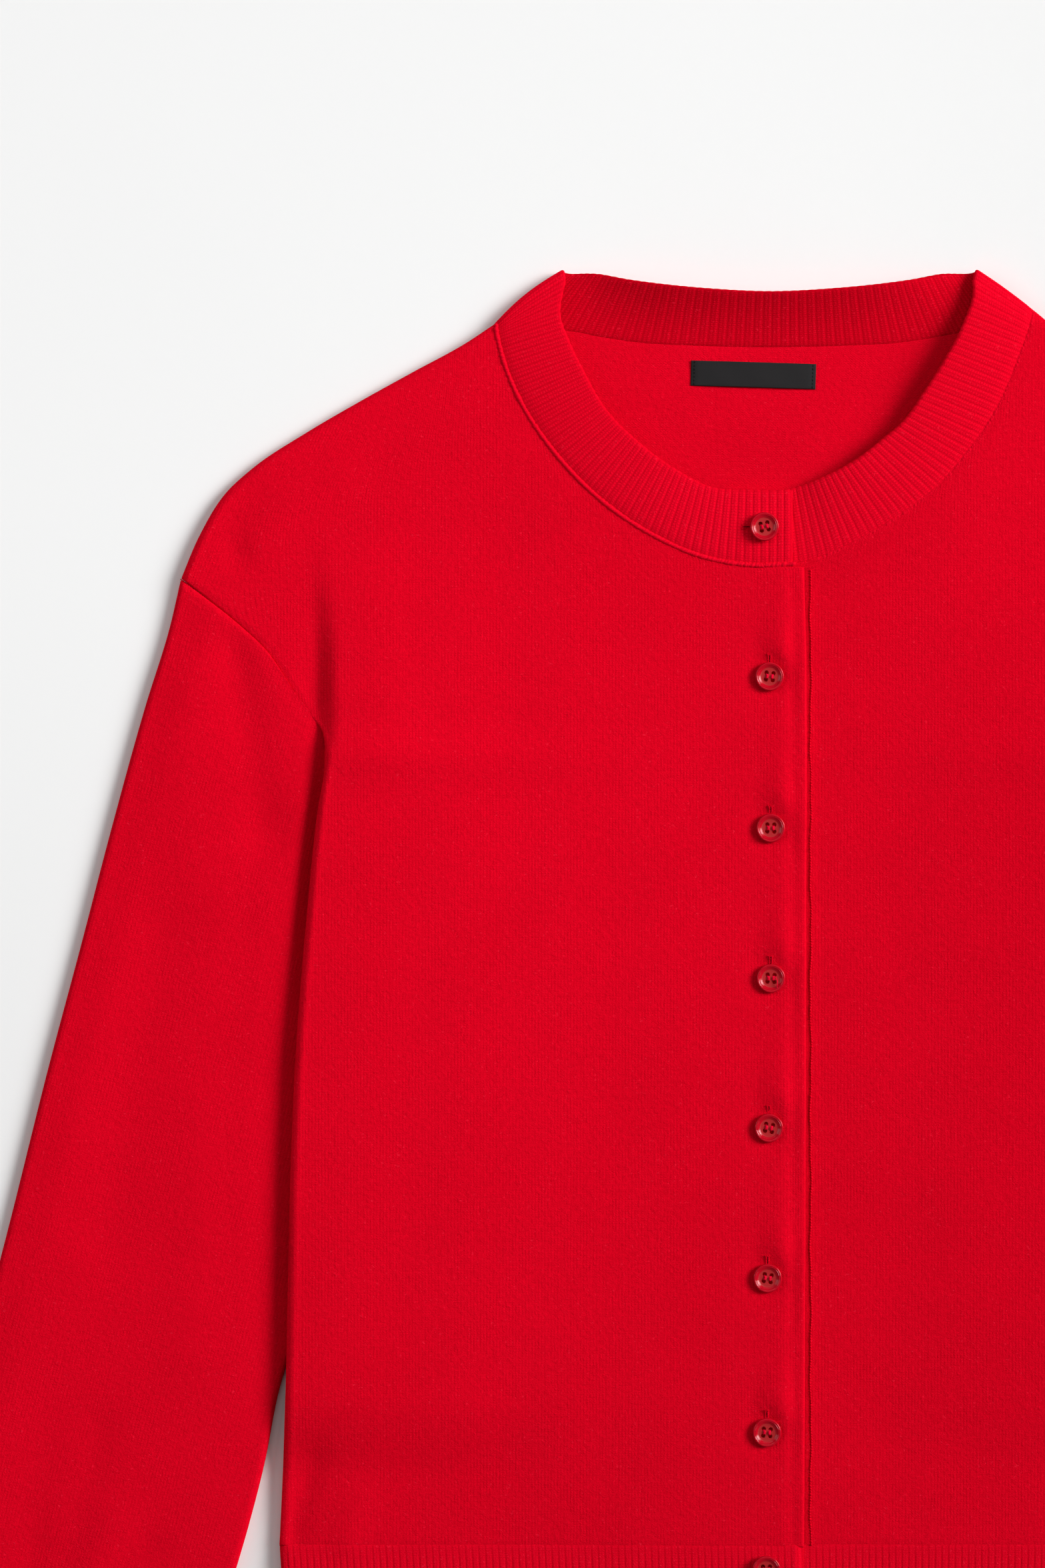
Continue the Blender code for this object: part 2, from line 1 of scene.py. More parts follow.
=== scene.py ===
# %% [markdown]
# # A red wool cardigan, laid flat
# The cardigan lies on its back on a pale table, buttoned from the neck to the hem. Its body and sleeves are plain
# jersey, its neckband, hem and cuffs are ribbed, and a bare black label is sewn inside the neck.
#
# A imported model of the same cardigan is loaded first. It has one plain solid for each knitted piece and each button,
# and it fixes where everything is. Every piece below is built to the same plan, in metres, and takes the place of its
# plain solid. Knitted cloth could be simulated, but a cardigan that somebody has smoothed out by hand shows a few soft
# folds in known places, so the cloth is drawn from its plan and its folds are placed one by one.

# %% Load the plain solids
import json
import math

import bpy
import numpy as np
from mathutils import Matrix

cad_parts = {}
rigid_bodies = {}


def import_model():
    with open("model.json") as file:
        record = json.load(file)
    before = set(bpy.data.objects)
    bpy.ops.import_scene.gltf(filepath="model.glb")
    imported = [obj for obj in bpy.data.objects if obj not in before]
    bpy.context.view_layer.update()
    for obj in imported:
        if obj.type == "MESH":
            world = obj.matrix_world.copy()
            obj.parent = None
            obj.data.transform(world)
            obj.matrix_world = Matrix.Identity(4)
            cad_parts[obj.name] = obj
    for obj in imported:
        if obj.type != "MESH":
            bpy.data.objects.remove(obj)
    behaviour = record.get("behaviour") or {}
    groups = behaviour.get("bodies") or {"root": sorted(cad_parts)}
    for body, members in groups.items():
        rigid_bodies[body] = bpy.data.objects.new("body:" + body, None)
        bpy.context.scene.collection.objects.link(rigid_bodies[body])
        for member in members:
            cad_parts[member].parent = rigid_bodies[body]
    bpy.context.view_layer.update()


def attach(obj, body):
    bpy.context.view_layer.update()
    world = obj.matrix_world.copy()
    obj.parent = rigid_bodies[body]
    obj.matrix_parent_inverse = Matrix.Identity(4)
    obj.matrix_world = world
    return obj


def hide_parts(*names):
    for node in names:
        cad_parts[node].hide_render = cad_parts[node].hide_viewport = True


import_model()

# %% [markdown]
# ## The plan of the cardigan
# A knitter works from a plan: half of each panel's outline, given as steps out from the centre line and up from the
# bottom of the hem. The tables below are that plan, in millimetres. The wearer's right side is at -X, and it laps
# over the left side. Heights are measured from the table.

# %% The plan's measures
MM = 0.001
RIGHT, LEFT = -1, 1
SIDES = ((RIGHT, "right"), (LEFT, "left"))
ORIGIN_UP = 255.6  # the middle of the cardigan's length, above the hem's bottom edge
WALL, RIB_WALL, RIB_RISE = 2.2, 2.3, 0.28  # jersey, the rib's plain depth, and how far its ribs stand up
RIB_PITCH, BAND_PITCH, BAND_DEPTH = 3.0, 3.3, 34.0
ARMHOLE_GAP, LAYER_GAP, AIR = -1.6, 0.3, 1.6  # the sleeve laps under the body; between layers; inside the body
NECK_GAP = {"front": -1.0, "back": -2.0}  # the linked seam takes this much of each panel under the band
SIDE_RIDGE, RIDGE_FADE, RIDGE_BOTTOM, RIDGE_TOP = 1.0, (140, 45), (40, 90), (420, 380)
HEM_TOP, HEM_IN = 21.9, 1.5  # the hem's upper edge, and how far its lower edge is drawn in
PLACKET_AIR = {RIGHT: 4.1, LEFT: 0.6}
PLACKET_EASE = (130.0, 16.0)  # from this far out the fronts rise, and from there inwards they lie level

# out, up
SIDE = ((220.8, 21.9), (219.4, 50), (217.6, 92), (216.4, 145), (215, 200), (212.6, 250),
        (208.6, 300), (203.6, 350), (199.8, 378), (201.4, 389), (208.5, 396.9))
ARMHOLE = ((208.5, 396.9), (218.1, 411.9), (226.2, 424.2), (239.7, 437.4), (254.4, 449.4), (265, 457.5))
SHOULDER = ((265, 457.5), (256.8, 476.7), (244.5, 496.5), (232.5, 507.4), (208.5, 523.2), (184.5, 537.2),
            (160.5, 550.5), (136.5, 563.7))
NECK_POINT = {RIGHT: (123.2, 572.6), LEFT: (118.6, 578.6)}
BACK_NECK_POINT = {RIGHT: (123.6, 570), LEFT: (118.8, 576)}
FRONT_EDGE = {RIGHT: ((-15.3, HEM_TOP), (-15.9, 150), (-16.2, 300), (-16.1, 430), (-15.3, 462.6)),
              LEFT: ((-18, HEM_TOP), (-18, 150), (-18, 300), (-18, 430), (-18, 462.4))}

# The neckband from the centre front to each shoulder's fold, then round the back:
# free_out, free_up, free_height, seam_out, seam_up, seam_height, with heights of its inner face.
BAND = {
    RIGHT: ((-10.2, 497.2, 6.9, -10.2, 463.2, 6.7), (8, 497.3, 6.9, 8.5, 462.8, 6.6),
            (25.2, 498.2, 7.4, 30.5, 466.6, 6.2), (42.3, 506.3, 8.2, 55, 477.5, 5.8),
            (60.1, 519.4, 8.4, 79.2, 494.6, 5.4), (74.5, 534.3, 8.3, 99.8, 516.8, 5),
            (83.5, 550, 8, 112.9, 537, 4.8), (90.2, 563.8, 7.4, 120.2, 554.2, 4.5),
            (94.4, 577, 6.4, 123.4, 566.6, 4.4), (90.6, 597.1, 4.2, 123.6, 570.8, 4)),
    LEFT: ((-18, 497.6, 3, -18, 462.9, 3), (4, 497.4, 3, 4, 462.7, 3),
           (10.5, 498.3, 3.2, 15.5, 464.2, 3.2), (22.8, 502.7, 6, 35.4, 471.8, 4.6),
           (37.2, 510, 8, 57.5, 484.6, 5.8), (50.3, 519.9, 8.6, 76.1, 498.7, 6.4),
           (60.2, 528.6, 9.2, 88.8, 513.4, 6.8), (69, 541.2, 9.6, 99.8, 529, 6.8),
           (79, 557, 9.8, 108.1, 545.7, 6.6), (86.5, 571.5, 9.4, 114.3, 561.7, 6),
           (91.3, 586.5, 7.6, 118, 572.6, 5), (90.6, 597.1, 4.8, 118.8, 576.8, 4)),
}
BAND_BACK = ((86, 595.4, 3.6, 108, 569.6, 2.9), (76.5, 594.6, 6, 91.5, 569.1, 2.5),
             (64.5, 592, 9.4, 76, 566.2, 2.4), (52.5, 590.1, 11.4, 60, 563.8, 2.4),
             (30, 587.7, 12.6, 33, 562.3, 2.4), (0, 586.2, 12.8, 0, 561.6, 2.4))
BAND_FOLD_RADIUS, BAND_FOLD_STEPS = 0.3, 12

SLEEVE_SLOPE = math.radians(14.9)
SLEEVE_LENGTH, CUFF_LENGTH, CUFF_WIDTH, SLEEVE_HEIGHT = 480, 54.2, 92, 6.3
SLEEVE_OUTER = ((265.5, 456.6), (270.3, 435.9), (281.4, 399.9), (296.4, 345.9), (310.5, 291.9),
                (324.9, 237.9), (342.9, 165.9), (361.8, 93.9))
SLEEVE_INNER = ((207.4, 397), (200.4, 389), (198.2, 378), (198.2, 366), (197.2, 352),
                (192, 325), (186, 285), (183.5, 245), (188, 205), (197, 168),
                (209, 128), (220.5, 93.9), (227.8, 57.9), (237.3, 21.9))
SLEEVE_END = ((440, 0, 138), (462, 3, 134), (SLEEVE_LENGTH, 14, CUFF_WIDTH))  # along, inset, width
TUCK_RISE, TUCK_HEIGHT = 5.7, 5.2  # how far the body rides up, and the sleeve's height under it
TUCK_BOTTOM, TUCK_TOP = (52, 90), (395, 372)
TUCK_RAMP = (185, 9)

LABEL_SIZE, LABEL_PLACE, LABEL_TURN = (56.4, 11.4, 1), (-7.2, 549.5), math.radians(-1.7)
# x, up, and the turn of the holes in degrees, from the neck down to the hem.
BUTTONS = ((-2.7, 480.6, 56), (-0.3, 413.4, 39), (0.2, 345.3, 44), (0.3, 277.8, 43),
           (-0.6, 210.6, 35), (-1.2, 143.1, 36), (-1.5, 73.8, 40), (-1.8, 12.3, 46))
print("body:", 2 * SIDE[0][0], "mm wide and", SHOULDER[-1][1], "mm from the hem to the neck")

# %% [markdown]
# ## Drawing with curves
# A panel's outline is a few points with smooth curves through them. A panel is then a lattice of points stretched
# between four such curves, which is what Blender calls a Coons patch. The small functions below read a curve by the
# share of its length, and fill a lattice between four of them.

# %% Curves and lattices
SAMPLES = np.linspace(0, 1, 400)
FLIP = np.array((-1.0, 1.0))


def ease(start, end, value):
    """A smooth step from 0 at `start` to 1 at `end`; the start may be the larger of the two."""
    share = np.clip((value - start) / (end - start), 0.0, 1.0)
    return share * share * (3 - 2 * share)


def curve(points):
    """A smooth curve through rows of numbers, as a function of the share of its length."""
    points = np.array(points, float)
    steps = np.linalg.norm(np.diff(points, axis=0), axis=1)
    at = np.concatenate(([0.0], np.cumsum(steps))) / steps.sum()
    slopes = np.gradient(points, at, axis=0)

    def read(share):
        share = np.clip(np.asarray(share, float), 0.0, 1.0)
        row = np.clip(np.searchsorted(at, share, side="right") - 1, 0, len(steps) - 1)
        span = (at[row + 1] - at[row])[..., None]
        t = (share - at[row])[..., None] / span
        return ((1 + 2 * t) * (1 - t) ** 2 * points[row] + t * (1 - t) ** 2 * span * slopes[row]
                + t * t * (3 - 2 * t) * points[row + 1] - t * t * (1 - t) * span * slopes[row + 1])

    return read


def traced(points):
    """The smooth curve through some points as a long row of points."""
    return curve(points)(SAMPLES)


def joined(first, second, corner):
    """Two curves read as one: the first up to the share `corner`, then the second."""
    def read(share):
        share = np.asarray(share, float)[..., None]
        before = first(np.clip(share[..., 0] / corner, 0, 1))
        after = second(np.clip((share[..., 0] - corner) / (1 - corner), 0, 1))
        return np.where(share <= corner, before, after)

    return read


def patch(u, v, low, high, left, right):
    """Plan points inside four border curves: u runs from left to right, v from low to high."""
    u, v = np.broadcast_arrays(u, v)
    across, along = u[..., None], v[..., None]
    sides = (1 - across) * left(v) + across * right(v)
    ends = (1 - along) * low(u) + along * high(u)
    corners = ((1 - across) * (1 - along) * low(0.0) + across * (1 - along) * low(1.0)
               + (1 - across) * along * high(0.0) + across * along * high(1.0))
    return sides + ends - corners


def spread(count, crowd):
    """Shares from 0 to 1 that lie closer together towards both ends."""
    even = np.linspace(0, 1, count + 1)
    return even - crowd * np.sin(2 * math.pi * even) / (2 * math.pi)


def nearest(rows, plan):
    """The distance from each plan point to a row of points, and which of them is nearest."""
    rows = np.asarray(rows)[:, :2]
    flat = plan.reshape(-1, 2)
    away = np.empty(len(flat))
    place = np.empty(len(flat), int)
    for start in range(0, len(flat), 4000):
        gap = np.linalg.norm(flat[start:start + 4000, None] - rows, axis=-1)
        away[start:start + 4000], place[start:start + 4000] = gap.min(axis=1), gap.argmin(axis=1)
    return away.reshape(plan.shape[:-1]), place.reshape(plan.shape[:-1])


def world(side, plan, height):
    """Points in metres from plan points (out, up) on one side and their heights."""
    height = np.broadcast_to(height, plan.shape[:-1])
    return np.stack((side * plan[..., 0], plan[..., 1] - ORIGIN_UP, height), axis=-1) * MM


print("a side seam's middle is at", np.round(curve(SIDE)(0.5), 1))

# %% [markdown]
# ## Where the layers lie
# Laid flat, the back rests on the table, each sleeve's inner edge is tucked under the body's side, and the fronts lie
# on the back with a little air between. The body's side rides up over the tucked sleeve, which makes a soft ridge
# along it. Near the buttons, the right front is carried by the left one. These functions give each layer's height.

# %% The height of each layer
def seam_of_band(side, offset=0.0):
    """The neck seam on one side, moved away from the band by `offset`: out, up, height of its inner face."""
    rows = np.array(BAND[side])
    away = rows[:, 3:5] - rows[:, 0:2]
    away /= np.linalg.norm(away, axis=1)[:, None]
    return np.column_stack((rows[:, 3:5] + offset * away, rows[:, 5]))


def shoulder(side):
    return (*SHOULDER, NECK_POINT[side])


def tuck(plan):
    """How far the body's side rides up over the sleeve's tucked edge, at each plan point."""
    out, up = np.abs(plan[..., 0]), plan[..., 1]
    edge = np.array(SLEEVE_INNER)[::-1]
    sleeve = np.interp(up, edge[:, 1], edge[:, 0])
    inwards = ease(sleeve - TUCK_RAMP[0], sleeve - TUCK_RAMP[1], out)
    return TUCK_RISE * inwards * ease(*TUCK_BOTTOM, up) * ease(*TUCK_TOP, up)


def front_underside(side, plan):
    """The underside of a front: over the back and the air between, higher at the neck and the overlap."""
    neck, up = traced(seam_of_band(side)), plan[..., 1]
    from_edge, _ = nearest(np.concatenate((traced(SIDE[:-2]), traced(shoulder(side)))), plan)
    from_neck, place = nearest(neck, plan)
    air = AIR * (0.35 + 0.65 * ease(0, 2.2, from_edge))
    ridge = (0.5 + 0.5 * ease(0, 3, from_edge)) * ease(*RIDGE_FADE, from_edge)
    air = air + SIDE_RIDGE * ridge * ease(*RIDGE_BOTTOM, up) * ease(*RIDGE_TOP, up)
    air = air + (PLACKET_AIR[side] - air) * ease(*PLACKET_EASE, plan[..., 0])
    at_neck = neck[place, 2] - WALL - LAYER_GAP
    air = air + (at_neck - air) * ease(55, 0, from_neck)
    return tuck(plan) + WALL + LAYER_GAP + air


def seam_dip(plan, border, depth, width):
    """How far a panel's edge is drawn down into a seam along a border."""
    return depth * ease(width, 0, nearest(border, plan)[0])


print("the side rides up by", round(float(tuck(np.array((205.0, 200.0)))), 1), "mm over the sleeve")

# %% [markdown]
# ## Folds, placed one by one
# Smoothed-out wool keeps a few soft folds: a valley where the underarm is drawn in, and long shallow waves down the
# sleeve. Each row below is a line on the plan with the depth and width of its fold at both ends. A plus is a ridge
# and a minus is a valley. The two sides have folds of the same kind, but not at the same places.

# %% The fold tables
# start_out, start_up, end_out, end_up, depth at the start and end, width at the start and end
FRONT_FOLDS = {
    RIGHT: (
        (204, 440, 205, 402, -0.3, -0.8, 9, 6), (240, 468, 236, 494, -1, -0.6, 7, 12),
        (176, 455, 172, 380, 0.5, 0.9, 14, 18), (232, 478, 196, 500, 0.8, 0.5, 9, 14),
        (150, 300, 162, 120, -0.6, -0.5, 22, 26), (100, 430, 84, 330, 0.35, 0.2, 26, 30),
        (120, 200, 92, 60, 0.35, 0.4, 24, 20), (206, 62, 214, 28, -1.1, -1.4, 7, 6),
        (60, 250, 52, 120, -0.3, -0.35, 20, 20), (186, 44, 190, 24, 0.5, 0.8, 9, 8)),
    LEFT: (
        (204, 436, 205, 402, -0.3, -0.8, 9, 6), (238, 470, 226, 496, -0.9, -0.6, 8, 12),
        (174, 452, 168, 384, 0.4, 0.8, 14, 18), (158, 310, 150, 140, -0.5, -0.6, 22, 26),
        (96, 440, 108, 350, 0.4, 0.3, 26, 30), (84, 190, 108, 70, 0.4, 0.35, 24, 20),
        (205, 60, 213, 28, -0.9, -1.2, 7, 6), (40, 300, 46, 160, 0.3, 0.25, 18, 18)),
}
SLEEVE_FOLDS = {
    RIGHT: (
        (241, 425, 227, 345, -1.3, -0.9, 8, 12), (227, 345, 240, 240, -0.9, -0.5, 12, 14),
        (262, 410, 262, 330, 0.6, 0.8, 12, 16), (275, 300, 300, 160, -0.7, -0.8, 13, 15),
        (256, 215, 262, 110, 0.6, 0.7, 12, 14), (312, 150, 330, 40, 0.5, -0.8, 12, 12),
        (330, 20, 346, -26, -1, -1.4, 9, 6), (296, 30, 322, -22, 0.7, 1, 12, 6),
        (280, 20, 318, -18, -0.9, -1.4, 9, 5), (302, 74, 316, 14, -0.7, -0.6, 9, 8)),
    LEFT: (
        (243, 420, 230, 350, -1.1, -0.8, 9, 12), (230, 350, 246, 250, -0.8, -0.6, 12, 14),
        (264, 404, 268, 320, 0.7, 0.7, 12, 16), (282, 290, 296, 170, -0.8, -0.6, 13, 15),
        (252, 205, 268, 100, 0.5, 0.7, 12, 14), (318, 140, 326, 50, 0.6, -0.7, 12, 12),
        (324, 24, 342, -24, -1.1, -1.4, 9, 6), (300, 26, 326, -22, 0.8, 1, 12, 6),
        (276, 24, 314, -16, -0.8, -1.3, 9, 5)),
}
BACK_FOLDS = ((-80, 548, 60, 520, 0.5, 0.5, 12, 20), (-40, 500, 70, 480, -0.4, -0.4, 14, 18),
              (60, 556, 88, 520, -0.5, -0.4, 9, 12))
print("folds:", {name: len(rows) for name, rows in
                 (("right front", FRONT_FOLDS[RIGHT]), ("right sleeve", SLEEVE_FOLDS[RIGHT]), ("back", BACK_FOLDS))})


# %% Reading a fold table
def folds(rows, plan):
    """The height that a table of folds adds at each plan point."""
    height = np.zeros(plan.shape[:-1])
    for out_1, up_1, out_2, up_2, depth_1, depth_2, width_1, width_2 in rows:
        start, line = np.array((out_1, up_1)), np.array((out_2 - out_1, up_2 - up_1))
        from_start = plan - start
        along = (from_start @ line) / (line @ line)
        held = np.clip(along, 0, 1)
        away = np.linalg.norm(from_start - held[..., None] * line, axis=-1)
        depth = depth_1 + (depth_2 - depth_1) * held
        width = width_1 + (width_2 - width_1) * held
        height += depth * np.exp(-(away / width) ** 2)
    return height


print("the fold above the hem is", round(float(folds(FRONT_FOLDS[RIGHT], np.array((212.0, 32.0)))), 1), "mm deep")

# %% [markdown]
# ## A knitted wall
# Knitted cloth is about 2 mm thick and its edges are round. One helper turns a lattice of points through the middle
# of the cloth into a closed wall: it adds a few rings of points along the borders that thin out to nothing, which
# rounds every edge. A second helper does the same for a tube, such as a sleeve. Each point also carries measures for
# its finish: `knit`, its place across and along the stitches in millimetres, and on a rib also `rib_count`, a running
# count of the ribs, and `rib_share`, how far they stand up there.

# %% Meshes from lattices
RIM = np.radians((32.0, 62.0, 90.0))


def unit(vectors):
    return vectors / np.maximum(np.linalg.norm(vectors, axis=-1, keepdims=True), 1e-12)


def quads_of(index):
    """Four corners for each cell of a lattice of point numbers."""
    return np.stack((index[:-1, :-1], index[:-1, 1:], index[1:, 1:], index[1:, :-1]), axis=-1).reshape(-1, 4)


def new_object(name, data):
    """An object in the scene."""
    made = bpy.data.objects.new(name, data)
    bpy.context.scene.collection.objects.link(made)
    return made


def make_piece(name, points, quads, marks, finishes, inner):
    """A smooth closed mesh object, turned so that its faces point outwards. `inner` tells which finish a face has."""
    a, b, c, d = (points[quads[:, corner]] for corner in range(4))
    volume = np.einsum("ij,ij->i", a, np.cross(b, c) + np.cross(c, d)).sum()
    if volume < 0:
        quads = quads[:, ::-1]
    mesh = bpy.data.meshes.new(name)
    mesh.from_pydata(points.tolist(), [], quads.tolist())
    for mark, values in marks.items():
        kind, field = ("FLOAT_VECTOR", "vector") if values.ndim == 2 else ("FLOAT", "value")
        mesh.attributes.new(mark, kind, "POINT").data.foreach_set(field, values.astype(np.float32).ravel())
    for finish in finishes:
        mesh.materials.append(finish)
    if len(finishes) > 1:
        mesh.polygons.foreach_set("material_index", inner.astype(np.int32))
    mesh.shade_smooth()
    return new_object(name, mesh)


def padded_lattice(lattice, half, rim):
    """A lattice with its border moved in by `half` and rounded outwards again, and the share of thickness left."""
    def grown(grid):
        first, last = unit(grid[0] - grid[1]), unit(grid[-1] - grid[-2])
        steps = np.linalg.norm(np.diff(grid, axis=0), axis=-1)
        from_first = np.concatenate((0 * steps[:1], np.cumsum(steps, axis=0)))
        for end, away in ((first, from_first), (last, from_first[-1] - from_first)):
            grid = grid - end * (half * np.clip(1 - away / (5 * half), 0, 1)[..., None])
        before = [grid[0] + math.sin(angle) * half * first for angle in rim[::-1]]
        after = [grid[-1] + math.sin(angle) * half * last for angle in rim]
        return np.concatenate((before, grid, after))

    shares = np.cos(rim)
    rows = np.concatenate((shares[::-1], np.ones(lattice.shape[0]), shares))
    columns = np.concatenate((shares[::-1], np.ones(lattice.shape[1]), shares))
    turned = grown(lattice).transpose(1, 0, 2)
    return grown(turned).transpose(1, 0, 2), np.maximum(np.outer(rows, columns), 0.0)


def spread_out(values, steps):
    return np.pad(values, ((steps, steps), (steps, steps)) + ((0, 0),) * (values.ndim - 2), mode="edge")


def facing_of(lattice):
    """Which way a lattice faces at each point: always upwards on the whole."""
    normal = unit(np.cross(np.gradient(lattice, axis=1), np.gradient(lattice, axis=0)))
    return normal if normal[..., 2].mean() > 0 else -normal


def both_faces(mark):
    return mark if isinstance(mark, tuple) else (mark, mark)


def cloth(name, middle, wall, finishes, facing=None, **marks):
    """A closed wall of cloth around a lattice of its middle points. A mark may be a pair: upper and lower face."""
    half, steps = wall / 2 * MM, len(RIM)
    points, left = padded_lattice(middle, half, RIM)
    facing = spread_out(facing_of(middle) if facing is None else facing, steps)
    offset = facing * (half * left)[..., None]
    rows, columns = left.shape
    upper = np.arange(rows * columns).reshape(rows, columns)
    lower = upper.copy()
    inside = np.zeros((rows, columns), bool)
    inside[1:-1, 1:-1] = True
    lower[inside] = rows * columns + np.arange(inside.sum())
    places = np.concatenate(((points + offset).reshape(-1, 3), (points - offset)[inside]))
    quads = np.concatenate((quads_of(upper), quads_of(lower)[:, ::-1]))
    values = {}
    for mark, pair in marks.items():
        top, bottom = (spread_out(face, steps) for face in both_faces(pair))
        values[mark] = np.concatenate((top.reshape(-1, *top.shape[2:]), bottom[inside]))
    return make_piece(name, places, quads, values, finishes, np.repeat((0, 1), len(quads) // 2))


def tube(name, outer, inner, finishes, **marks):
    """A closed wall between the outer and inner rings of a tube, with round ends."""
    def lip(end):
        """A round lip between the outer and inner ring at one end."""
        beyond = unit(outer[end] - outer[1 if end == 0 else -2])
        half = np.linalg.norm(outer[end] - inner[end], axis=-1, keepdims=True) / 2
        middle = (outer[end] + inner[end]) / 2
        return [middle + math.cos(angle) * (outer[end] - middle) + math.sin(angle) * half * 0.6 * beyond
                for angle in np.radians((45.0, 90.0, 135.0))]

    rings = np.concatenate((outer, lip(-1), inner[::-1], lip(0)[::-1]))
    count, around = rings.shape[:2]
    index = np.arange(count * around).reshape(count, around)
    index = np.concatenate((index, index[:1]))
    quads = quads_of(np.concatenate((index, index[:, :1]), axis=1))
    values = {}
    for mark, pair in marks.items():
        top, bottom = both_faces(pair)
        rows = np.concatenate((top, np.repeat(top[-1:], 3, axis=0), bottom[::-1], np.repeat(bottom[:1], 3, axis=0)))
        values[mark] = rows.reshape(-1, *rows.shape[2:])
    inner_faces = np.arange(len(quads)) // around > len(outer)
    return make_piece(name, rings.reshape(-1, 3), quads, values, finishes, inner_faces)


def triangles(piece):
    return sum(len(face.vertices) - 2 for face in piece.data.polygons)


print("a wall's rim is rounded in", len(RIM), "steps")

# %% [markdown]
# ## A bench for node trees
# Materials and Geometry Nodes are both trees of nodes. Wired by hand they are slow to read, so one small class lets a
# wire be used in a sum: `1 - mask * 2` adds its Math nodes by itself. Every other node comes from one method, `add`,
# which takes the node's type, its settings, and the values or wires of its sockets.

# %% Wires and benches
class Wire:
    """An output socket that can be used in a sum with other wires and with numbers."""

    def __init__(self, bench, node, socket):
        self.bench, self.node, self.socket = bench, node, socket

    def maths(self, operation, *others):
        return self.bench.add("ShaderNodeMath", {"operation": operation}, dict(enumerate((self, *others))))

    def within(self, low, high):
        return self.maths("MAXIMUM", low).maths("MINIMUM", high)

    def __getitem__(self, output):
        return Wire(self.bench, self.node, self.node.outputs[output])

    def __add__(self, other):
        return self.maths("ADD", other)

    def __sub__(self, other):
        return self.maths("SUBTRACT", other)

    def __rsub__(self, other):
        return self.bench.add("ShaderNodeMath", {"operation": "SUBTRACT"}, {0: other, 1: self})

    def __mul__(self, other):
        return self.maths("MULTIPLY", other)

    def __truediv__(self, other):
        return self.maths("DIVIDE", other)

    __radd__, __rmul__ = __add__, __mul__


class Bench:
    """A node tree to work on."""

    def __init__(self, tree):
        self.tree = tree

    def add(self, kind, settings=None, sockets=None, output=0):
        node = self.tree.nodes.new(kind)
        for setting, value in (settings or {}).items():
            setattr(node, setting, value)
        for socket, value in (sockets or {}).items():
            if isinstance(value, Wire):
                self.tree.links.new(value.socket, node.inputs[socket])
            else:
                node.inputs[socket].default_value = value
        return Wire(self, node, node.outputs[output] if len(node.outputs) else None)

    def blend(self, share, low, high):
        """A colour between two colours."""
        return self.add("ShaderNodeMix", {"data_type": "RGBA"}, {0: share, 6: low, 7: high}, output=2)


class Finish(Bench):
    """A material with one Principled shader; uniform values are set on the shader's own sockets."""

    def __init__(self, name, **uniform):
        self.material = bpy.data.materials.new(name)
        self.material.use_nodes = True
        super().__init__(self.material.node_tree)
        self.shader = self.tree.nodes["Principled BSDF"]
        for socket, value in uniform.items():
            self.shader.inputs[socket.replace("_", " ")].default_value = value

    def mark(self, name, output="Fac"):
        """A measure that the mesh carries."""
        return self.add("ShaderNodeAttribute", {"attribute_name": name}, output=output)

    def knit(self):
        """The places across and along the stitches, in millimetres."""
        split = self.add("ShaderNodeSeparateXYZ", {}, {0: self.mark("knit", "Vector")})
        return split["X"], split["Y"]

    def noise(self, size, detail, roughness=0.5):
        """A cloudy pattern from about 0 to 1, with clouds of about `size` metres."""
        place = self.add("ShaderNodeTexCoord", output="Object")
        return self.add("ShaderNodeTexNoise", {"noise_dimensions": "3D"},
                        {"Vector": place, "Scale": 1.0 / size, "Detail": detail, "Roughness": roughness})

    def feed(self, socket, wire):
        self.tree.links.new(wire.socket, self.shader.inputs[socket])

    def relief(self, height, depth):
        """A bump of `depth` metres from a height of 0 to 1."""
        self.feed("Normal", self.add("ShaderNodeBump", {}, {"Strength": 1.0, "Distance": depth, "Height": height}))


print("benches: shader maths and geometry nodes share the same wires")

# %% [markdown]
# ## Wool
# Jersey shows columns of small V stitches on its face and rows of little arcs on its inside. The wool is slightly
# felted, so the stitches are soft and in places they almost vanish. The pattern is worked out from `knit`, the place
# in millimetres, and a fine noise stands for the felt. Wool has no gloss, so the shader's specular level is nothing.

# %% The wool finishes
WALE, COURSE = 1.45, 1.1  # the width of a column of stitches and the height of a row
RED_DEEP, RED_SPARK = (0.53, 0.0006, 0.0085, 1), (0.84, 0.012, 0.036, 1)
JERSEY_RED, RIB_RED = (0.86, 0.0018, 0.0190, 1), (0.88, 0.002, 0.0205, 1)


def dye(finish, tone, full, sparks):
    """Wool's colour: from deep red to its full red by the tone, and pale where a single fibre catches the light."""
    colour = finish.blend(tone.within(0.0, 1.0), RED_DEEP, full)
    finish.feed("Base Color", finish.blend(sparks, colour, RED_SPARK))


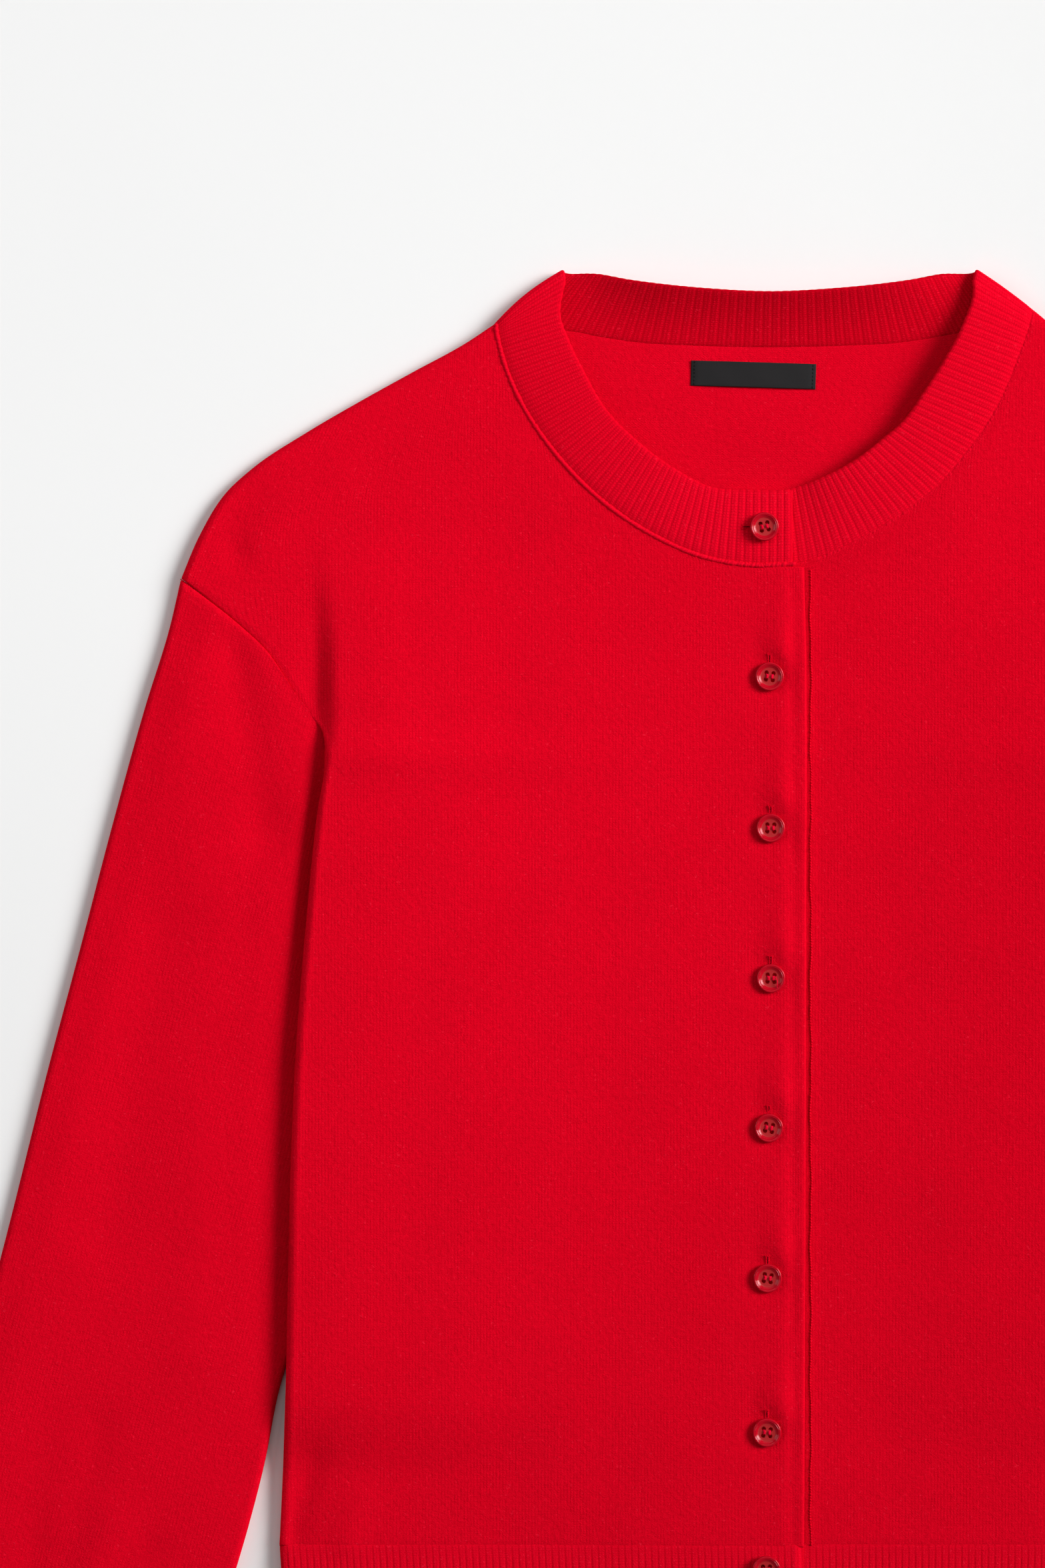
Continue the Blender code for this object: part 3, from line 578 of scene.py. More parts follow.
def wool(name, stitches, contrast, depth):
    """A red wool finish: `stitches` works out the height of the knit from its place across and along."""
    finish = Finish(name, Roughness=0.95, Specular_IOR_Level=0.0)
    across, along = finish.knit()
    height = stitches(across + (finish.noise(0.007, 1.0) - 0.5) * 0.5, along + (finish.noise(0.006, 1.0) - 0.5) * 0.5)
    felt = finish.noise(0.00055, 3.0, 0.65) - 0.5
    tufts = finish.noise(0.0021, 3.0, 0.6) - 0.5
    clouds = finish.noise(0.045, 3.0) - 0.5
    clear = (finish.noise(0.012, 2.0) * 2.6 - 0.75).within(0.0, 1.0)
    knit = (height - 0.5) * (0.25 + 0.75 * clear)
    sparks = ((finish.noise(0.0012, 1.0, 0.3) - 0.70) * 9).within(0.0, 0.6)
    dye(finish, 0.50 + knit * contrast + felt * 1.05 + tufts * 0.6 + clouds * 0.25, JERSEY_RED, sparks)
    finish.relief(0.5 + knit * 0.3 + felt * 0.9 + tufts * 1.3, depth)
    return finish.material


def v_stitches(across, along):
    """Columns of V stitches, each with two legs that slant down from its middle."""
    leg = ((across / WALE).maths("FRACT") - 0.5).maths("ABSOLUTE") * 2
    lean = ((along / COURSE) - leg * 0.55).maths("FRACT") * 2 - 1
    return (1 - leg * leg) * (0.35 + 0.65 * (1 - lean * lean))


def purl_arcs(across, along):
    """Rows of small arcs that look up and down in turn."""
    wave = (across * (2 * math.pi / WALE)).maths("SINE")
    row = ((along / COURSE) + wave * 0.22).maths("FRACT") * 2 - 1
    return 1 - row * row


jersey = wool("wool jersey, face", v_stitches, 0.36, 0.00024)
jersey_inside = wool("wool jersey, inside", purl_arcs, 0.26, 0.00026)


# %% [markdown]
# ## Rib
# A rib is a column of stitches that stands up, with a furrow between it and the next. The columns themselves are real
# shapes, so the finish only adds the beads of the stitches along each rib, a darker furrow, where less light gets in
# and the wool is denser, and painted shade on the inner face of the neckband's back. The hem and the cuffs have
# fainter beads than the neckband, which is stretched.

# %% The rib finish
def rib_finish(name, contrast, beading):
    """A red ribbed finish: `contrast` between crest and furrow, and `beading` along each rib."""
    finish = Finish(name, Roughness=0.95, Specular_IOR_Level=0.0)
    count, inner = finish.mark("rib_count"), finish.mark("rib_inner")
    _, along = finish.knit()
    crest = (count * math.pi).maths("SINE").maths("ABSOLUTE")
    leg = ((count.maths("FRACT") - 0.5).maths("ABSOLUTE") * 2 - 0.5) * 2
    lanes = 1 - leg * leg
    bead = ((along / 1.3) + (finish.noise(0.006, 1.0) - 0.5) * 0.6).maths("FRACT") * 2 - 1
    beads = (1 - bead * bead) * lanes * lanes
    felt = finish.noise(0.0005, 3.0, 0.6) - 0.5
    clouds = finish.noise(0.03, 3.0) - 0.5
    sparks = ((finish.noise(0.0010, 1.0, 0.3) - 0.66) * 9).within(0.0, 0.7)
    # inner is painted shade: it darkens the neckband's inner face at the back.
    tone = 0.38 - inner * 0.4 + (crest - 0.6) * contrast + beads * beading + felt * 1.1 + clouds * 0.2
    dye(finish, tone, RIB_RED, sparks * crest)
    finish.relief(0.4 + beads * 0.22 + felt * 1.0, 0.00024)
    return finish.material


rib = rib_finish("wool rib", 0.1, 0.6)
hem_rib = rib_finish("wool rib of the hem", 0.3, 0.25)
print("finishes:", ", ".join(finish.name for finish in (jersey, jersey_inside, rib, hem_rib)))

# %% [markdown]
# ## The back
# The back lies flat on the table, and only its inside shows, in the neck opening. It is one panel with a shallow neck.
# Its lattice has the neck seam along its top border and the side and armhole curves left and right.

# %% Knit the back
def knit_place(plan):
    """A place in stitches: across and along in millimetres."""
    return np.concatenate((plan, np.zeros_like(plan[..., :1])), axis=-1)


def back_plan():
    corner, shoulder_share = 0.8, 0.25
    middle = shoulder_share + (1 - 2 * shoulder_share) * np.linspace(0, 1, 46)[1:-1]
    columns = np.concatenate((shoulder_share * np.linspace(0, 1, 22), middle,
                              1 - shoulder_share * np.linspace(1, 0, 22)))
    rows = np.concatenate((spread(90, 0.4) * corner, np.linspace(corner, 1, 24)[1:]))
    right_neck, left_neck = BACK_NECK_POINT[RIGHT], BACK_NECK_POINT[LEFT] * FLIP
    seam = np.array([(row[3], row[4] - NECK_GAP["back"]) for row in BAND_BACK])
    neck = np.concatenate(([right_neck], seam, seam[-2::-1] * FLIP, [left_neck]))
    high = joined(curve((*SHOULDER, right_neck)), curve(neck), shoulder_share / (1 - shoulder_share))
    high = joined(high, curve((left_neck, *(np.array(SHOULDER)[::-1] * FLIP))), 1 - shoulder_share)
    border = joined(curve(SIDE), curve(ARMHOLE), corner)
    low = curve((SIDE[0], SIDE[0] * FLIP))
    return patch(*np.meshgrid(columns, rows), low, high, border, lambda share: border(share) * FLIP)


plan = back_plan()
outline = np.concatenate((traced(SIDE[:-2]), traced(SHOULDER)))
lift = seam_dip(plan, np.concatenate((outline, outline * FLIP)), 0.5, 5.0)
inside_neck = ease(110, 60, np.abs(plan[..., 0])) * ease(440, 480, plan[..., 1])
height = tuck(plan) + WALL / 2 + lift + inside_neck * np.maximum(folds(BACK_FOLDS, plan * FLIP), 0)
back = cloth("cardigan_back", world(RIGHT, plan, height), WALL, (jersey_inside, jersey), knit=knit_place(plan))
print("back:", triangles(back), "triangles")

# %% [markdown]
# ## The fronts
# The two fronts carry the folds, the puckers around the buttons and the soft ridge beside the right front's edge,
# where the button band is turned in. A button sits in a small dish, and the cloth above it climbs to the band's edge.
# The side edges roll down to meet the back in the side seam.

# %% Puckers and the placket
DISH = 0.7  # how far a button is drawn down into the cloth
CLIMB = ((-14, -4, 4, 10, 15, 22, 29, 40, 60), (0.0, 0.4, 1.8, 2.4, 2.1, 1.2, 0.8, 0.45, 0.0))  # above, height


def puckers(plan):
    """How the buttonholes pull on the right front: above each button the cloth climbs towards the band's edge."""
    height = np.zeros(plan.shape[:-1])
    for x, up, _ in BUTTONS[1:7]:
        across, above = plan[..., 0] + x, plan[..., 1] - up
        slope = ease(8.0, -6.5, across) * (1 - 0.35 * ease(-6.5, -16.0, across))
        away = np.hypot(across, above)
        height += np.interp(above, *CLIMB) * slope * ease(5.0, 10.0, away) - DISH * ease(14.0, 5.5, away)
    return height


def placket(plan):
    """The turned-in button band: a soft round ridge beside the edge and a shallow trough on its inner side."""
    out, up = plan[..., 0], plan[..., 1]
    lively = 1 + 0.3 * np.sin(up * 0.093 + 0.4) + 0.2 * np.sin(up * 0.21)
    trough = ease(-6.0, -10.2, out) * ease(-15.8, -10.4, out)
    return lively * (0.15 * np.exp(-((out + 5.0) / 4.0) ** 2) - 0.45 * trough)


print("the cloth climbs", max(CLIMB[1]), "mm beside each buttonhole")


# %% Knit the fronts
UNDERARM_LINE = ((388.0, 406.0, 424.0, 442.0, 460.0), (198.6, 198.8, 199.0, 200.0, 202.0))  # up, out
UNDERARM_STEP = ((362, 372, 390, 406, 424, 442, 460, 480), (0.0, 0.6, 4.2, 4.4, 3.6, 2.2, 0.9, 0.0))  # up, height


def front_plan(side):
    corner = 0.55
    rows = np.concatenate((spread(90, 0.3) * corner, corner + spread(60, 0.3)[1:] * (1 - corner)))
    neck = [FRONT_EDGE[side][-1], *seam_of_band(side, NECK_GAP["front"])[1:-1, :2], NECK_POINT[side]]
    return patch(*np.meshgrid(spread(100, 0.45), rows), curve((SIDE[0], FRONT_EDGE[side][0])), curve(shoulder(side)),
                 joined(curve(SIDE), curve(ARMHOLE), corner), joined(curve(FRONT_EDGE[side]), curve(neck), corner))


def knit_near_shoulder(plan):
    """The columns of stitches lean over along the shoulder, where the panel was shaped."""
    away, _ = nearest(traced(SHOULDER), plan)
    lean = ease(46, 6, away) * 0.4 * ease(130, 190, plan[..., 0])
    shift = lean * (plan[..., 1] - 480.0)
    return knit_place(plan + np.stack((shift, -0.4 * shift), axis=-1))


def underarm(plan):
    """The body's cloth stands higher than the sleeve's above the underarm, with a steep soft step between them."""
    out, up = plan[..., 0], plan[..., 1]
    line = np.interp(up, *UNDERARM_LINE)
    return np.interp(up, *UNDERARM_STEP) * ease(line + 5.5, line - 5.0, out) * ease(line - 185, line - 12, out)


def front_height(side, plan):
    """The height of the middle of a front's cloth."""
    out, up = plan[..., 0], plan[..., 1]
    height = front_underside(side, plan) + WALL / 2
    for border, depth in ((shoulder(side), 0.5), (ARMHOLE, 0.3)):
        height = height - seam_dip(plan, traced(border), depth, 3.0)
    height = height + underarm(plan) + folds(FRONT_FOLDS[side], plan) * ease(-20, 10, out)
    if side == LEFT:
        return height + 0.5 * np.exp(-((out - 18.4) / 1.4) ** 2)
    pulled = placket(plan) * ease(462, 452, up) + puckers(plan)
    return height + pulled - seam_dip(plan, traced(FRONT_EDGE[RIGHT]), 0.1, 3.0)


fronts = {}
for side, word in SIDES:
    plan = front_plan(side)
    middle = world(side, plan, front_height(side, plan))
    fronts[side] = cloth(f"cardigan_front_{word}", middle, WALL, (jersey, jersey_inside), knit=knit_near_shoulder(plan))
    print(f"{word} front:", triangles(fronts[side]), "triangles")

# %% [markdown]
# ## The sleeves
# A sleeve is a flattened tube: two layers that meet in round edges. It could be two panels sewn together, but a tube
# has no seam to open at its edges. Its upper layer carries the long soft folds, dips into the armhole seam, and
# sinks beside the body, where its inner edge goes under the body's side.

# %% Knit the sleeves
DOWN_SLEEVE = np.array((math.sin(SLEEVE_SLOPE), -math.cos(SLEEVE_SLOPE)))
TO_BODY = np.array((-math.cos(SLEEVE_SLOPE), -math.sin(SLEEVE_SLOPE)))
PLUMP = ((70, 130, 240, 310, 365, 396), (0.0, 0.3, 0.5, 2.0, 2.2, 0.6))  # up, height
GROOVE = ((40, 90, 240, 310, 360, 392), (0.0, 0.8, 0.8, 1.8, 1.8, 0.0))


def sleeve_plan():
    """The sleeve's plan as a function of the share across, from its outer edge, and the share along."""
    outer, inner = [np.array(row) for row in SLEEVE_OUTER], [np.array(row) for row in SLEEVE_INNER]
    for length, inset, width in SLEEVE_END:
        outer.append(outer[0] + DOWN_SLEEVE * length + TO_BODY * inset)
        inner.append(outer[-1] + TO_BODY * width)
    outer, inner = curve(outer), curve(inner)
    armhole = curve([np.array(row) + ARMHOLE_GAP * np.array((0.73, -0.68)) for row in ARMHOLE[::-1]])

    def start(share):
        share_along = np.asarray(share, float)[..., None]
        return armhole(share) + ((1 - share_along) * (outer(0.0) - armhole(0.0))
                                 + share_along * (inner(0.0) - armhole(1.0)))

    end = curve((outer(1.0), inner(1.0)))
    return lambda u, v: patch(u, v, start, end, outer, inner)


OUTER_LINE = sleeve_plan()(np.zeros(200), np.linspace(0.02, 1, 200))


def sleeve_top(side, plan):
    """The height of the sleeve's upper face: plump beside the body, and in a groove under its edge."""
    out, up = plan[..., 0], plan[..., 1]
    outline = np.array(SIDE[:-2])
    from_body = out - np.interp(up, outline[:, 1], outline[:, 0])
    under_body = ease(22, 4, from_body) * ease(60, 85, up) * ease(395, 300, up)
    top = SLEEVE_HEIGHT + (TUCK_HEIGHT - SLEEVE_HEIGHT) * under_body - seam_dip(plan, OUTER_LINE, 1.2, 20.0)
    top = top + folds(SLEEVE_FOLDS[side], plan) - seam_dip(plan, traced(ARMHOLE), 0.25, 5.0)
    from_ridge = from_body - 11.0
    top = top + np.interp(up, *PLUMP) * np.exp(-(from_ridge / np.where(from_ridge < 0, 7.0, 42.0)) ** 2)
    return top - np.interp(up, *GROOVE) * np.exp(-(from_body / 3.4) ** 2)


def flattened(plan_of, shares_along, top_of, wall, across, radius):
    """The outer and inner rings of a tube that lies flat on the table."""
    rings = {0.0: [], wall: []}
    middle = SLEEVE_HEIGHT / 2 - 0.35
    for along in shares_along:
        edges = plan_of(np.array((0.0, 1.0)), np.array((along, along)))
        width = np.linalg.norm(edges[1] - edges[0])
        for inset, made in rings.items():
            share = (inset + across * (width - 2 * inset)) / width
            from_edge = np.minimum(across, 1 - across) * (width - 2 * inset)
            flat = np.sqrt(1 - (1 - np.minimum(from_edge / (radius - inset * 0.75), 1)) ** 2)
            plan = plan_of(share, np.full_like(share, along))
            upper = np.column_stack((plan, middle + (top_of(plan) - middle - inset) * flat))
            lower = np.column_stack((plan, middle - (middle - inset) * flat))[-2:0:-1]
            made.append(np.concatenate((upper, lower)))
    return np.array(rings[0.0]), np.array(rings[wall])


def laid_tube(name, side, rings, finishes, **marks):
    """A tube of cloth on one side, from its outer and inner rings, with its stitches along the sleeve."""
    place = knit_place(rings[0][..., :2] @ np.stack((TO_BODY, DOWN_SLEEVE), axis=-1))
    outer, inner = (world(side, ring[..., :2], ring[..., 2]) for ring in rings)
    return tube(name, outer, inner, finishes, knit=place, **marks)


EDGE_SHARES = 0.5 * (1 - np.cos(np.linspace(0, math.pi / 2, 9)[:-1])) * 0.16
ACROSS = np.concatenate((EDGE_SHARES, np.linspace(0.09, 0.91, 44), 1 - EDGE_SHARES[::-1]))
sleeves = {}
for side, word in SIDES:
    rings = flattened(sleeve_plan(), spread(130, 0.2), lambda plan: sleeve_top(side, plan), WALL, ACROSS, 2.6)
    sleeves[side] = laid_tube(f"cardigan_sleeve_{word}", side, rings, (jersey, jersey_inside))
    print(f"{word} sleeve:", triangles(sleeves[side]), "triangles")

# %% [markdown]
# ## Raising the ribs
# Ribs repeat, so Geometry Nodes raise them. Each ribbed piece is first made plain and smooth, and carries a running
# count of its ribs. The tree moves every point out along its normal by a rounded wave of that count: nothing in a
# furrow, all of the rise on a crest. At a free edge the same move gives the small scallops that a real rib ends in.

# %% The rib tree
def new_tree(name, inputs):
    """A geometry tree with named inputs. Gives its bench, a wire for each input and the inputs' identifiers."""
    tree = bpy.data.node_groups.new(name, "GeometryNodeTree")
    tree.interface.new_socket(name="Geometry", in_out="OUTPUT", socket_type="NodeSocketGeometry")
    for label, kind in (("Geometry", "Geometry"), *inputs):
        tree.interface.new_socket(name=label, in_out="INPUT", socket_type=f"NodeSocket{kind}")
    bench = Bench(tree)
    source = bench.add("NodeGroupInput")
    named = {socket.name: socket.identifier for socket in tree.interface.items_tree if socket.in_out == "INPUT"}
    return bench, {label: source[label] for label in named}, named


def close_tree(bench, geometry, material):
    """Ends a tree: real geometry with its material."""
    real = bench.add("GeometryNodeRealizeInstances", {}, {0: geometry})
    made = bench.add("GeometryNodeSetMaterial", {}, {"Geometry": real, "Material": material})
    bench.add("NodeGroupOutput", {}, {0: made})


def settled(piece):
    """The mesh that an object's modifiers make."""
    bpy.context.view_layer.update()
    return bpy.data.meshes.new_from_object(piece.evaluated_get(bpy.context.evaluated_depsgraph_get()))


def run_tree(piece, bench, named, values):
    """Runs a tree on a piece and keeps the result as its mesh."""
    step = piece.modifiers.new("tree", "NODES")
    step.node_group = bench.tree
    for label, value in values.items():
        step[named[label]] = value
    made, plain = settled(piece), piece.data
    piece.modifiers.remove(step)
    piece.data = made
    bpy.data.meshes.remove(plain)


ribs, wires, rib_inputs = new_tree("raise ribs", (("Rise", "Float"), ("Roundness", "Float"), ("Material", "Material")))
count, share = (ribs.add("GeometryNodeInputNamedAttribute", {"data_type": "FLOAT"}, {"Name": name})
                for name in ("rib_count", "rib_share"))
crest = (count * math.pi).maths("SINE").maths("ABSOLUTE").maths("POWER", wires["Roundness"])
normal = ribs.add("GeometryNodeInputNormal")
move = ribs.add("ShaderNodeVectorMath", {"operation": "SCALE"}, {0: normal, "Scale": crest * share * wires["Rise"]})
raised = ribs.add("GeometryNodeSetPosition", {}, {"Geometry": wires["Geometry"], "Offset": move})
close_tree(ribs, raised, wires["Material"])


def ribbed(piece, material):
    """Raises a piece's ribs and gives the piece back."""
    run_tree(piece, ribs, rib_inputs, {"Rise": RIB_RISE * MM, "Roundness": 0.5, "Material": material})
    return piece


print("the rib tree takes", list(rib_inputs))

# %% [markdown]
# ## The hem
# Each front ends in a rib 22 mm deep, whose ribs run up and down. It is knitted on to the jersey, so it starts at the
# same height, and its lower edge is drawn in a little. The back's hem rests on the table and shows only from below.

# %% Knit the hem
PER_RIB = 8  # points, or stations, for each rib


def rib_marks(counts, upper, lower=0.0):
    """The marks of a ribbed lattice: the running count, and how far the ribs stand up on its two faces."""
    counts, upper, lower = (values.copy() for values in np.broadcast_arrays(counts, upper, lower))
    return {"rib_count": counts, "rib_share": (upper, lower)}


def rib_shares(width):
    """The number of ribs in a width, and the shares across of their points."""
    number = round(width / RIB_PITCH)
    return number, np.linspace(0, 1, PER_RIB * number + 1)


def upright(out, up):
    """A lattice of plan points from its places out and the height of each row."""
    return np.stack((out, np.broadcast_to(up[:, None], out.shape)), axis=-1)


hems = {}
half_width, rows = SIDE[0][0], np.linspace(0, 1, 12)
for side, word in SIDES:
    edge_in = FRONT_EDGE[side][0][0]
    number, across = rib_shares(half_width - edge_in)
    up = (HEM_TOP + 1.4) * (1 - rows)
    plan = upright((1 - across) * (half_width - HEM_IN * rows[:, None]) + across * edge_in, up)
    height = front_underside(side, plan) + RIB_WALL / 2 + folds(FRONT_FOLDS[side], plan)
    height = height - seam_dip(plan, np.column_stack((np.full(12, half_width), up)), 0.9, 5.0)
    if side == RIGHT:
        height = height - seam_dip(plan, plan[:, -1], 1.7, 4.0)
    shown = ease(0.0, 8.0, HEM_TOP - plan[..., 1]) * 0.8 + 0.1
    hems[side] = ribbed(cloth(f"cardigan_hem_{word}", world(side, plan, height), RIB_WALL, (hem_rib,),
                              knit=knit_place(plan), **rib_marks(across * number, shown)), hem_rib)
    print(f"{word} hem:", number, "ribs,", triangles(hems[side]), "triangles")

rows = np.linspace(0, 1, 8)
number, across = rib_shares(2 * half_width)
width = half_width - HEM_IN * rows[:, None]
plan = upright((2 * across - 1) * width, (HEM_TOP - 0.1) * (1 - rows))
lift = 0.5 * ease(5.0, 0.0, width - np.abs(plan[..., 0]))
hem_back = ribbed(cloth("cardigan_hem_back", world(RIGHT, plan, WALL / 2 + lift), WALL, (hem_rib,),
                        knit=knit_place(plan), **rib_marks(across * number, np.full(lift.shape, 0.3))), hem_rib)
print("back hem:", number, "ribs,", triangles(hem_back), "triangles")

# %% [markdown]
# ## The cuffs
# Each sleeve is gathered into a ribbed cuff, a narrower tube with ribs along it. It is laid flat like the sleeve, so
# the same two functions make it, and its ribs stand up less on the side that lies on the table.

# %% Knit the cuffs
CUFF_ROWS, CUFF_START = 14, 0.1
cuff_corner = np.array(SLEEVE_OUTER[0]) + DOWN_SLEEVE * (SLEEVE_LENGTH + CUFF_START) + TO_BODY * SLEEVE_END[-1][1]


def cuff_plan(u, v):
    """The cuff's plan, drawn in a little at half its length."""
    across = (0.5 + (u - 0.5) * (1.0 - 0.03 * np.sin(math.pi * v)))[..., None]
    return cuff_corner + across * CUFF_WIDTH * TO_BODY + v[..., None] * (CUFF_LENGTH - CUFF_START) * DOWN_SLEEVE


cuffs = {}
number, shares = rib_shares(CUFF_WIDTH)
counts = np.concatenate((shares, shares[-2:0:-1])) * number
stands = np.concatenate((np.ones(len(shares)), np.full(len(shares) - 2, 0.25)))
rings = flattened(cuff_plan, np.linspace(0, 1, CUFF_ROWS), lambda plan: np.full(plan.shape[:-1], SLEEVE_HEIGHT - 0.9),
                  RIB_WALL, shares, 3.4)
for side, word in SIDES:
    cuffs[side] = ribbed(laid_tube(f"cardigan_cuff_{word}", side, rings, (hem_rib,),
                                   **rib_marks(counts, np.tile(stands, (CUFF_ROWS, 1)))), hem_rib)
    print(f"{word} cuff:", number, "ribs,", triangles(cuffs[side]), "triangles")

# %% [markdown]
# ## The neckband
# The neckband is one ribbed strip. It starts at the right front's edge, runs round the neck, folds over at each
# shoulder and ends under the right front. Seen from above, its outer face shows on the fronts and its inner face
# at the back. Each station along it has a point on the free edge and one on the neck seam, and eight stations make
# a rib.

# %% Knit the neckband
FACE_UP, FACE_DOWN = (0.0, 0.0, 1.0), (0.0, 0.0, -1.0)


def along_band(rows):
    """Stations along a length of the neckband, enough of them for each rib."""
    rows = np.array(rows)
    length = np.linalg.norm(np.diff(rows[:, :2], axis=0), axis=1).sum()
    return curve(rows)(np.linspace(0, 1, PER_RIB * round(length / BAND_PITCH) + 1))


def band_side(side):
    """Stations of a front half of the neckband, from the centre front to the shoulder's fold."""
    stations = along_band(BAND[side])
    stations[:, (0, 3)] *= side
    return stations


def band_back():
    """Stations of the neckband's back, from the right shoulder's fold to the left one's."""
    fold = {side: np.array(BAND[side][-1]) for side in (RIGHT, LEFT)}
    for row in fold.values():
        row[[2, 5]] -= 2 * BAND_FOLD_RADIUS
    rows = np.array([fold[RIGHT], *BAND_BACK])
    rows[:, (0, 3)] *= RIGHT
    return along_band(np.concatenate((rows, np.array([fold[LEFT], *BAND_BACK[:-1]])[::-1])))


def band_fold(station):
    """Stations around a shoulder's fold, from the front's last one to the back's first, with their facing."""
    line = station[0:2] - station[3:5]
    outward = np.array((-line[1], line[0])) / np.linalg.norm(line)
    outward *= np.sign(outward[1])
    stations, facing = [], []
    for angle in np.linspace(0, math.pi, BAND_FOLD_STEPS + 1)[1:-1]:
        place = station.copy()
        for column in (0, 3):
            place[column:column + 2] += BAND_FOLD_RADIUS * math.sin(angle) * outward
            place[column + 2] += BAND_FOLD_RADIUS * (math.cos(angle) - 1)
        stations.append(place)
        facing.append((*(0.5 * math.sin(angle) * outward), math.cos(angle)))
    return np.array(stations), np.array(facing)


right, rear, left = band_side(RIGHT), band_back(), band_side(LEFT)[::-1]
fold_right, facing_right = band_fold(right[-1])
fold_left, facing_left = band_fold(left[0])
parts = (right, fold_right, rear, fold_left[::-1], left)
stations = np.concatenate(parts)
facing = np.concatenate((np.tile(FACE_UP, (len(right), 1)), facing_right, np.tile(FACE_DOWN, (len(rear), 1)),
                         facing_left[::-1], np.tile(FACE_UP, (len(left), 1))))
steps = [np.full(len(part), 1 / count) for part, count in
         zip(parts, (PER_RIB, BAND_FOLD_STEPS, PER_RIB, BAND_FOLD_STEPS, PER_RIB))]
band_count = np.cumsum(np.concatenate(steps)) - 1 / PER_RIB

# %% [markdown]
# The band isn't quite flat: it is drawn in and bows out beside each shoulder's fold, and has a low crown at the
# back. A modifier could bend it, but a few soft bumps on its stations are easier to place. Its ribs show in full on
# the fronts, less on the button band, and only a little on the inner face.

# %% Shape the neckband
across_band = np.linspace(0, 1, 18)
arch = np.sin(math.pi * across_band)
free, seam = stations[:, 0:3], stations[:, 3:6]
out_from_middle = np.abs(stations[:, 0:1])
bow = np.zeros((len(stations), 2))
for fold, depth in ((fold_right, 1.5), (fold_left, 0.2)):
    tip = fold[BAND_FOLD_STEPS // 2]
    from_fold = np.linalg.norm(free[:, :2] - tip[:2], axis=1)
    free = free + unit(seam - free) * (2.3 * np.exp(-(from_fold / 4.0) ** 2))[:, None]
    outwards = unit(np.array((np.sign(tip[0]) * (tip[1] - tip[4]), abs(tip[0] - tip[3]))))
    bow += depth * np.exp(-(from_fold / 9.0) ** 2)[:, None] * outwards
free, seam = free[:, None], seam[:, None]
is_front, is_back = facing[:, 2:3] > 0.5, facing[:, 2:3] < -0.99
crown = ((0.5 * arch - 0.4 * ease(0.84, 1.0, across_band)) * is_front
         + 1.6 * arch * ease(90, 50, out_from_middle) * is_back)
band_points = free + (seam - free) * across_band[:, None] + facing[:, None] * (RIB_WALL / 2 + crown[..., None])
band_points[..., :2] += arch[:, None] * bow[:, None]
shape = crown.shape
band_place = np.stack(np.broadcast_arrays(band_count[:, None] * BAND_PITCH, across_band * BAND_DEPTH), axis=-1)
flat_at_seam = ease(1.0, 0.93, across_band)
button_band = 1 - 0.55 * ease(8.0, 12.0, stations[:, 0:1]) * (np.arange(len(stations))[:, None] < len(right))
outer_stands = np.clip(facing[:, 2:3], 0, 1) * flat_at_seam * button_band
inner_stands = 0.8 * ease(92, 80, out_from_middle) * is_back * flat_at_seam
# The neckband's inner face at the back carries rib_inner, painted shade that darkens its red.
neckband = ribbed(cloth("cardigan_neckband", world(LEFT, band_points[..., :2], band_points[..., 2]), RIB_WALL, (rib,),
                        facing=np.broadcast_to(facing[:, None], (*shape, 3)).copy(), knit=knit_place(band_place),
                        rib_inner=(np.zeros(shape), np.broadcast_to(is_back * 1.0, shape).copy()),
                        **rib_marks(band_count[:, None], outer_stands, inner_stands)), rib)
print("neckband:", round(float(band_count[-1])), "ribs,", triangles(neckband), "triangles")

# %% [markdown]
# ## Seams
# The neckband is linked on to the body with a row of slanting stitches that stands up like a thin cord. Finer rows
# close the armholes and run down the edge under the buttons. A tree follows a path, sets a small oval stitch at even
# steps and leans each one over by the same angle, with a little scatter in size.

# %% The stitch tree
seams, wires, seam_inputs = new_tree("stitches along a path", (
    ("Spacing", "Float"), ("Length", "Float"), ("Width", "Float"), ("Lean", "Float"), ("Material", "Material")))
path = seams.add("GeometryNodeMeshToCurve", {}, {0: wires["Geometry"]})
points = seams.add("GeometryNodeResampleCurve", {"mode": "LENGTH"}, {"Curve": path, "Length": wires["Spacing"]})
tangent = seams.add("GeometryNodeInputTangent")
turn = seams.add("FunctionNodeAlignRotationToVector", {"axis": "X"}, {"Vector": tangent})
lean = seams.add("FunctionNodeAxisAngleToRotation", {}, {"Axis": (0.0, 0.0, 1.0), "Angle": wires["Lean"]})
turned = seams.add("FunctionNodeRotateRotation", {"rotation_space": "LOCAL"}, {"Rotation": turn, "Rotate By": lean})
ball = seams.add("GeometryNodeMeshUVSphere", {}, {"Segments": 8, "Rings": 5, "Radius": 0.5})
size = seams.add("ShaderNodeCombineXYZ", {}, {0: wires["Length"], 1: wires["Width"], 2: wires["Width"] * 0.85})
stitch = seams.add("GeometryNodeTransform", {}, {"Geometry": ball, "Scale": size})
scatter = seams.add("FunctionNodeRandomValue", {"data_type": "FLOAT"}, {2: 0.85, 3: 1.15, "Seed": 7}, output=1)
placed = seams.add("GeometryNodeInstanceOnPoints", {},
                   {"Points": points, "Instance": stitch, "Rotation": turned, "Scale": scatter})
smooth = seams.add("GeometryNodeSetShadeSmooth", {}, {0: seams.add("GeometryNodeRealizeInstances", {}, {0: placed})})
close_tree(seams, smooth, wires["Material"])
